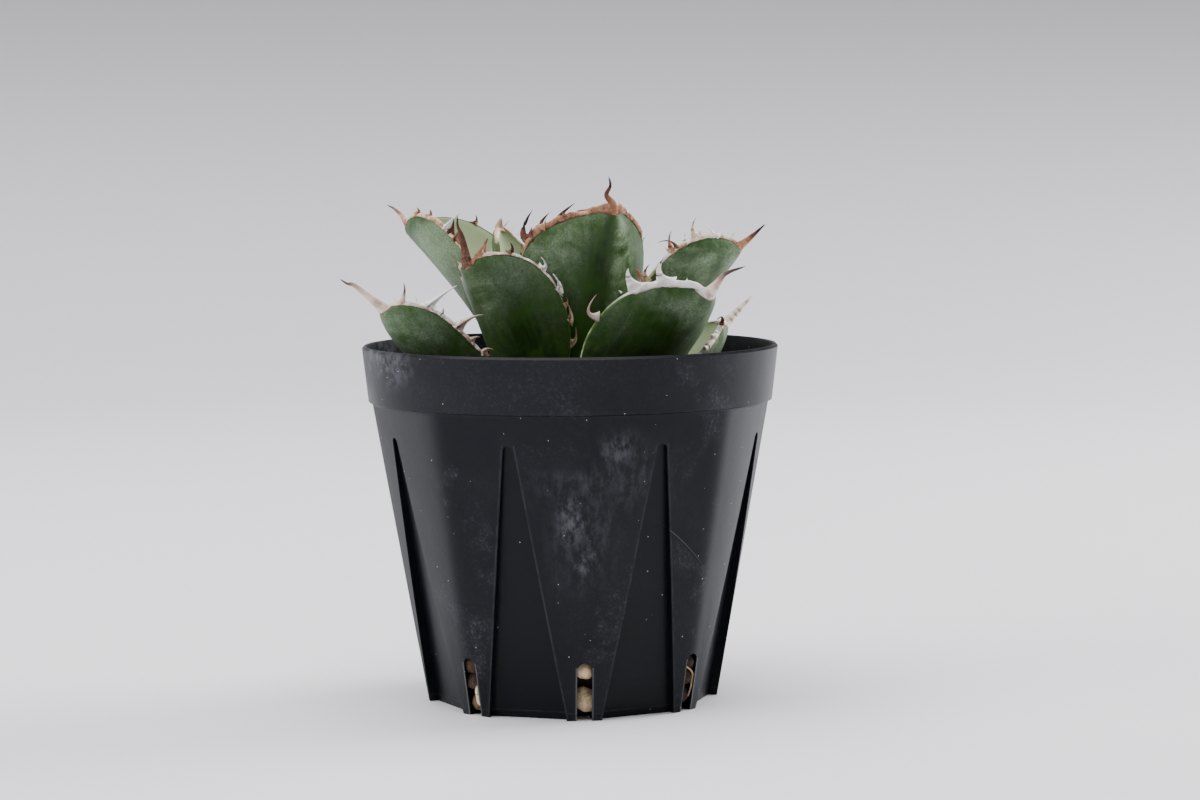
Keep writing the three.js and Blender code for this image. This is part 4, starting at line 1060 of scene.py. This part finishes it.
def make_tooth(bm, leaf, side, place, length, lean, hook, tone, dark, fat=1.0, tilt=0, bow=0.6):
    point, square, along = upper_face(leaf, place, side)
    out = (square.cross(along) * side).normalized()
    start = point - square * (EDGE_THICKNESS / 2) + out * 0.4
    sunk = start - out * 0.5
    out = out * math.cos(math.radians(tilt)) - square * math.sin(math.radians(tilt))
    angle = math.radians(lean)
    tip = start + out * (math.cos(angle) * length) + along * (math.sin(angle) * length)
    bend = start + out * (bow * length) + along * (hook * length)
    root = 0.7 + 0.13 * length

    def wide(t):
        return root * (0.95 * min(1, fat) * (1 - t) ** 5 + 0.42 * fat * (1 - t) ** 0.9) + 0.03

    def thin(t):
        return 0.75 * (0.55 * (1 - t) ** 4 + 0.45 * (1 - t) ** 0.9) + 0.03

    thorn(bm, lambda t: bent(sunk, bend, tip, t), along, wide, thin,
          9 if length > 2.5 else 6, 8, tone=tone, darkness=dark, fresh=0.0, seam=0.0)


def make_spine(bm, leaf):
    point, along, above, across = station(leaf, 1)
    root = point - above * (EDGE_THICKNESS / 2)
    places = [root - along * 0.6] + [root + along * a + above * b + across * c
                                     for a, b, c in leaf["spine"]]
    size, (tone, dark, fat) = leaf["spine_root"], leaf["spine_looks"]

    def wide(t):
        return size * (0.50 * (1 - t) ** 4 + 0.38 * fat * (1 - t) ** 0.7) + 0.03

    def thin(t):
        return 0.85 * size * (0.36 * (1 - t) ** 4 + 0.40 * fat * (1 - t) ** 0.7) + 0.03

    thorn(bm, lambda t: through(places, t), across, wide, thin, 18, 10, tone=tone, darkness=dark,
          fresh=0.0, seam=0.0)


def draws(seed):
    """A repeatable run of numbers from 0 to 1."""
    state = seed
    while True:
        state = state * 16807 % 2147483647
        yield state / 2147483647


def ruled_teeth(leaf, side, seed):
    draw, teeth, place = draws(seed), [], leaf["band"] + 0.2
    while place < 0.95:
        length = 1.6 + 2.2 * next(draw)
        teeth.append((side, place, length, 20 + 50 * next(draw), 0.4 * next(draw) - 0.2))
        place += 0.14 + 0.05 * next(draw)
    return teeth

# %% [markdown]
# ### Splinters
# Old horn peels. About a dozen thin splinters along each band, each a tiny curled sliver of four
# sides, break up its outline as they do on the real plant.

# %% Make the splinters and join each leaf's horn
def make_splinters(bm, leaf, path, count, seed):
    draw = draws(seed)
    upper = [step for step in path if fullness_at(leaf, step[0], step[1], 0.1) > 0.5]
    for _ in range(count):
        s, u, point, square, out = upper[int(next(draw) * len(upper))]
        along = station(leaf, s)[1]
        length = 0.5 + 1.3 * next(draw) ** 2
        lean = 2.4 * next(draw) - 1.2
        lift = 1.6 * next(draw) - 0.8
        start = point - square * (EDGE_THICKNESS / 2 - 0.6 * lift) + out * 0.7
        ahead = (out + along * lean + square * lift).normalized()
        bend = start + ahead * length * 0.6
        tip = bend + (ahead + square * (next(draw) - 0.5) * 2 + along * (next(draw) - 0.5) * 2
                      ).normalized() * length * 0.6
        breadth = 0.10 + 0.16 * next(draw)
        thorn(bm, lambda t: bent(start, bend, tip, t), along, lambda t: breadth * (1.03 - t),
              lambda t: 0.07 * (1.2 - t), 3, 4, tone=max(0.0, leaf["tone"] - 0.2),
              darkness=0.35 * next(draw), fresh=0.0, seam=0.0)


for index, leaf in enumerate(LEAVES):
    bm = bmesh.new()
    for key in LAYERS:
        bm.verts.layers.float.new(key)
    make_band(bm, leaf)
    make_spine(bm, leaf)
    for row in leaf["teeth"]:
        make_tooth(bm, leaf, *row)
    for side in leaf["ruled"]:
        for row in ruled_teeth(leaf, side, 977 * (index + 1) + side):
            make_tooth(bm, leaf, *row, leaf["tone"] + 0.1, 0.7)
    make_splinters(bm, leaf, edge_path(leaf), leaf.get("splinters", 12), 4421 + 31 * index)
    bmesh.ops.recalc_face_normals(bm, faces=bm.faces)
    margin = add_piece("horn_" + leaf["name"], bm, horn, "horn", ["margin_" + leaf["name"]])
    print(margin.name, "faces:", len(margin.data.polygons))

# %% [markdown]
# ## Stem and closed young leaves
# The stem is a short woody cone, ringed by the scars of old leaves, and hardly seen. On top of it
# the youngest leaves are still wrapped into a spindle. Both are lathe shapes; the spindle's
# corners are then pressed into three overlapping sheaths with a twist.

# %% Stem
STEM_PROFILE = [(0, 48), (7.04, 48), (8.8, 56), (8.8, 62), (5.4, 70), (2.4, 75), (0, 75)]
stem_bark = start_finish("stem_bark")
places = object_places()
rings = grain(stretched(places, (60, 60, 900)), 1.0, 4, 0.6)
patches = grain(places, 400, 5)
colour = blend(span(rings, 0.35, 0.65), (0.20, 0.155, 0.085), (0.42, 0.37, 0.24))
colour = blend(span(patches, 0.45, 0.75), colour, (0.10, 0.070, 0.040))
wire(shader.inputs["Base Color"], colour)
wire(shader.inputs["Roughness"], span(patches, 0.3, 0.7, 0.7, 0.9))
wire(shader.inputs["Normal"], relief(rings, 0.0006, 0.6))


def add_levels(bm, cuts):
    """Cuts every edge that climbs more than 1.2 mm."""
    tall = [e for e in bm.edges if abs(e.verts[0].co.z - e.verts[1].co.z) > 1.2 * MM]
    bmesh.ops.subdivide_edges(bm, edges=tall, cuts=cuts, use_grid_fill=True)


bm = spun([(r * MM, z * MM) for r, z in STEM_PROFILE], 64, 0.8 * MM)
add_levels(bm, 3)
add_levels(bm, 3)
for corner in bm.verts:
    radial = Vector((corner.co.x, corner.co.y, 0))
    scar = 0.25 * math.sin(corner.co.z / MM * 2.6 + 1.5 * wobble(corner.co / MM, 8))
    if radial.length > 1 * MM:
        corner.co += radial.normalized() * (scar - 0.2) * MM
stem = add_piece("stem_core", bm, stem_bark, "stem", ["stem"])
print("stem faces:", len(stem.data.polygons))

# %% Young leaves
BUD_PROFILE = [(0, 75.3), (1.6, 75.3), (3.06, 82.4), (3.6, 87.1), (2.88, 91.9), (1.08, 95.4),
               (0.5, 97.3), (0.12, 99), (0, 99)]
bm = spun([(r * MM, z * MM) for r, z in BUD_PROFILE], 72)
add_levels(bm, 5)
layers = {key: bm.verts.layers.float.new(key) for key in ("wax_and_light", "upper", "edge")}
leaf_place = bm.verts.layers.float_vector.new("leaf_place")
for corner in bm.verts:
    angle = math.atan2(corner.co.y, corner.co.x)
    wrap = (angle / (2 * math.pi) * 3 + (corner.co.z / MM - 75) * 0.045) % 1.0
    corner.co.x *= 0.94 + 0.06 * wrap
    corner.co.y *= 0.94 + 0.06 * wrap
    share = (corner.co.z / MM - 75) / 24
    corner[leaf_place] = Vector((angle * 3, share * 24, share * 1000)) * MM
    corner[layers["wax_and_light"]] = 0.35
    corner[layers["edge"]] = 0.9 + 0.1 * wrap
bud = add_piece("young_leaves", bm, leaf_skin, "leaf", ["bud"])
print("young leaves:", len(bud.data.polygons), "faces")

# %% [markdown]
# ## Soil and grit
# The mix is a coarse one of pumice, bark and baked clay. From the front it only shows through the
# slits; from above it shows between the leaves. A smooth core fills most of the pot, with
# pockets cut behind the slits, and loose grains lie on top and in the pockets. One rounded cube,
# knocked about by noise into six shapes, serves for all of them. Each grain carries a tint, from
# wet bark at 0 through clay to pumice, and the finish reads it.

# %% Mix the grit
grit = start_finish("grit")
places = object_places()
tint = carried("tint")
pores = grain(places, 2600, 4, 0.7)
stain = grain(places, 300, 5)
blotches = grain(places, 900, 5, 0.7, 0.6)
colour = blend(span(tint, 0.0, 0.25), (0.016, 0.011, 0.009), (0.055, 0.030, 0.015))
colour = blend(span(tint, 0.25, 0.55), colour, (0.215, 0.135, 0.060))
colour = blend(span(tint, 0.70, 0.85), colour, (0.42, 0.33, 0.21))
colour = blend(span(tint, 0.90, 1.20), colour, (0.80, 0.60, 0.36))
dirt = span(tint, 0.90, 1.10, 1.0, 0.4)
colour = blend(times(times(span(blotches, 0.45, 0.62), 0.75), dirt), colour, (0.065, 0.036, 0.016))
colour = blend(times(times(span(stain, 0.4, 0.7), 0.5), dirt), colour, (0.060, 0.036, 0.020))
colour = blend(times(span(pores, 0.55, 0.7), 0.7), colour, (0.030, 0.018, 0.012))
wire(shader.inputs["Base Color"], colour)
wire(shader.inputs["Roughness"], span(stain, 0.3, 0.7, 0.8, 0.95))
wire(shader.inputs["Normal"], relief(pores, 0.0002, 0.8))

# %% Pour the soil
SOIL_LEVEL = 62 * MM
SOIL_CROWN = 1.2 * MM                  # the soil is heaped up by this much round the stem
SOIL_CROWN_RADIUS = 22 * MM
SOIL_CROWN_SLOPE = 11 * MM             # over this distance
CORE_DEPTH = 0.6 * MM                  # from the soil's top to the core, which the grains cover
CLEAR = 0.3 * MM


def soil_top(radius):
    crown = min(1, max(0, (SOIL_CROWN_RADIUS - radius) / SOIL_CROWN_SLOPE))
    return SOIL_LEVEL + SOIL_CROWN * crown


inset = WALL + CLEAR
profile = [(0, FLOOR_THICKNESS + CLEAR),
           (body_radius(0) - inset - 0.5 * MM, FLOOR_THICKNESS + CLEAR),
           (body_radius(3 * MM) - inset, 3 * MM + CLEAR),
           (body_radius(SOIL_LEVEL) - inset, SOIL_LEVEL)]
for k in range(1, 25):
    radius = (body_radius(SOIL_LEVEL) - inset) * (1 - k / 24)
    profile.append((radius, soil_top(radius) - CORE_DEPTH))
bm = spun(profile, 120)
for corner in bm.verts:
    if corner.co.z > SOIL_LEVEL - 1 * MM and corner.co.xy.length < 40 * MM:
        corner.co.z += 0.5 * MM * wobble(corner.co / MM, 2.4)
soil = add_piece("soil_core", bm, grit, "soil", ["soil"])
cut_away(soil, flat_cutters(inset))
cut_away(soil, slit_cutters(4.6 * MM, wider=3 * MM, higher=2.5 * MM))
tints = soil.data.attributes.get("tint") or soil.data.attributes.new("tint", "FLOAT", "POINT")
for item in tints.data:
    item.value = 0.30
print("soil core faces:", len(soil.data.polygons))

# %% Scatter the grains
GRAIN_COUNT = 1000
GRAIN_REACH = 39.6 * MM


def grain_shape(seed):
    bm = bmesh.new()
    bmesh.ops.create_cube(bm, size=2)
    bmesh.ops.subdivide_edges(bm, edges=bm.edges, cuts=1, use_grid_fill=True)
    for corner in bm.verts:
        corner.co = corner.co.normalized() * (1 + 0.38 * wobble(corner.co.normalized(), 0.8, seed))
    shape = bpy.data.meshes.new("grain")
    bm.to_mesh(shape)
    bm.free()
    return shape


SHAPES = [grain_shape(seed) for seed in (3, 8, 14, 21, 27, 35)]
draw = draws(90211)


def drop_grain(bm, place, size, tint):
    """Adds one grain, turned and stretched at random, around the place."""
    before = len(bm.verts)
    bm.from_mesh(SHAPES[int(next(draw) * len(SHAPES))])
    bm.verts.ensure_lookup_table()
    fresh = bm.verts[before:]
    turn = Matrix.Rotation(6.28 * next(draw), 4, "Z") @ Matrix.Rotation(3.1 * next(draw), 4, "X")
    stretch = Matrix.Diagonal((size * (0.85 + 0.3 * next(draw)), size, size * 0.85, 1))
    bmesh.ops.transform(bm, verts=fresh, matrix=Matrix.Translation(place) @ turn @ stretch)
    layer = bm.verts.layers.float["tint"]
    for corner in fresh:
        corner[layer] = tint


bm = bmesh.new()
bm.verts.layers.float.new("tint")
for _ in range(GRAIN_COUNT):
    radius = math.sqrt(0.06 + 0.94 * next(draw)) * GRAIN_REACH
    angle = 2 * math.pi * next(draw)
    size = (0.7 + 0.9 * next(draw) ** 2) * MM
    height = soil_top(radius) - 0.5 * MM + 0.3 * size
    drop_grain(bm, (radius * math.cos(angle), radius * math.sin(angle), height), size,
               next(draw) ** 1.3)
# Grains behind a slit: (height, size, tint, to the side). Slit 0 is in front, 1 right of it.
SLIT_GRIT = {0: [(4.4, 3.0, 1.05, 0), (10.6, 2.3, 1.20, 0)],
             1: [(3.6, 2.0, 0.02, 0.7), (7.2, 1.8, 0.00, 0.7), (10.6, 1.9, 0.02, 0.7)],
             7: [(2.9, 2.2, 0.48, -0.7), (7.2, 2.1, 0.14, -0.7), (11.0, 2.2, 0.20, -0.7)]}
OTHER_GRIT = [(3.6, 2.2, 0.4, 0), (7.8, 2.0, 0.2, 0.3), (11.2, 1.9, 0.55, 0)]
for i in range(SLIT_COUNT):
    for height, size, tint, aside in SLIT_GRIT.get(i, OTHER_GRIT):
        z = height * MM
        angle = (i - 2) * 2 * math.pi / SLIT_COUNT
        place = Matrix.Rotation(angle, 3, "Z") @ Vector(
            (body_radius(z) - SEEN_WALL - (size - 0.25) * MM, aside * MM, z))
        drop_grain(bm, place, size * MM, tint)
bmesh.ops.recalc_face_normals(bm, faces=bm.faces)
grains = add_piece("grit_grains", bm, grit, "soil")
print("grains:", len(grains.data.polygons) // 24)

# %% [markdown]
# ## Roots
# Two slits show a root that has found the light: a plump white one on the left and a thin tan
# one on the right.

# %% Grow the roots
ROOT_RINGS, ROOT_SIDES = 24, 10

root_skin = start_finish("root_skin")
places = object_places()
hairs = grain(places, 1600, 4, 0.7)
white = blend(span(hairs, 0.3, 0.7), (0.52, 0.42, 0.28), (0.70, 0.62, 0.47))
tan = blend(span(hairs, 0.3, 0.7), (0.20, 0.12, 0.055), (0.36, 0.25, 0.14))
colour = blend(span(apart(places)[0], -0.002, 0.002), white, tan)
wire(shader.inputs["Base Color"], colour)
wire(shader.inputs["Roughness"], span(hairs, 0.3, 0.7, 0.55, 0.75))
wire(shader.inputs["Normal"], relief(hairs, 0.0001, 0.5))


def make_root(name, turn, places, thick):
    """A root behind the slit at that turn, from (sideways, height, outwards) places."""
    outward, side = facing(turn)
    points = [outward * (body_radius(z * MM) / MM - 2.0 + lean) + side * across + UP * z
              for across, z, lean in places]
    bm = bmesh.new()
    rings = []
    for k in range(ROOT_RINGS + 1):
        spot, ahead = through(points, k / ROOT_RINGS)
        flat = ahead.cross(outward).normalized()
        up = flat.cross(ahead).normalized()
        size = thick * (1 + 0.15 * wobble(spot, 1.5))
        rings.append([(spot + flat * size * math.cos(a) + up * size * math.sin(a)) * MM
                      for a in (2 * math.pi * i / ROOT_SIDES for i in range(ROOT_SIDES))])
    extrude_rings(bm, rings)
    bmesh.ops.recalc_face_normals(bm, faces=bm.faces)
    return add_piece(name, bm, root_skin, "stem")


for root in (
        make_root("root_left", -45, [(0.0, 7.0, -1.0), (0.7, 5.6, 1.2), (0.9, 4.2, 1.4),
                                     (1.0, 2.9, 1.3), (1.2, 1.9, 0.2)], 0.50),
        make_root("root_right", 45, [(-2.0, 10.2, 0.0), (-0.6, 9.5, 1.4), (1.1, 8.1, 1.6),
                                     (1.2, 6.5, 1.6), (1.15, 4.9, 1.6), (1.1, 3.0, 1.2)], 0.20)):
    print(root.name, "faces:", len(root.data.polygons))
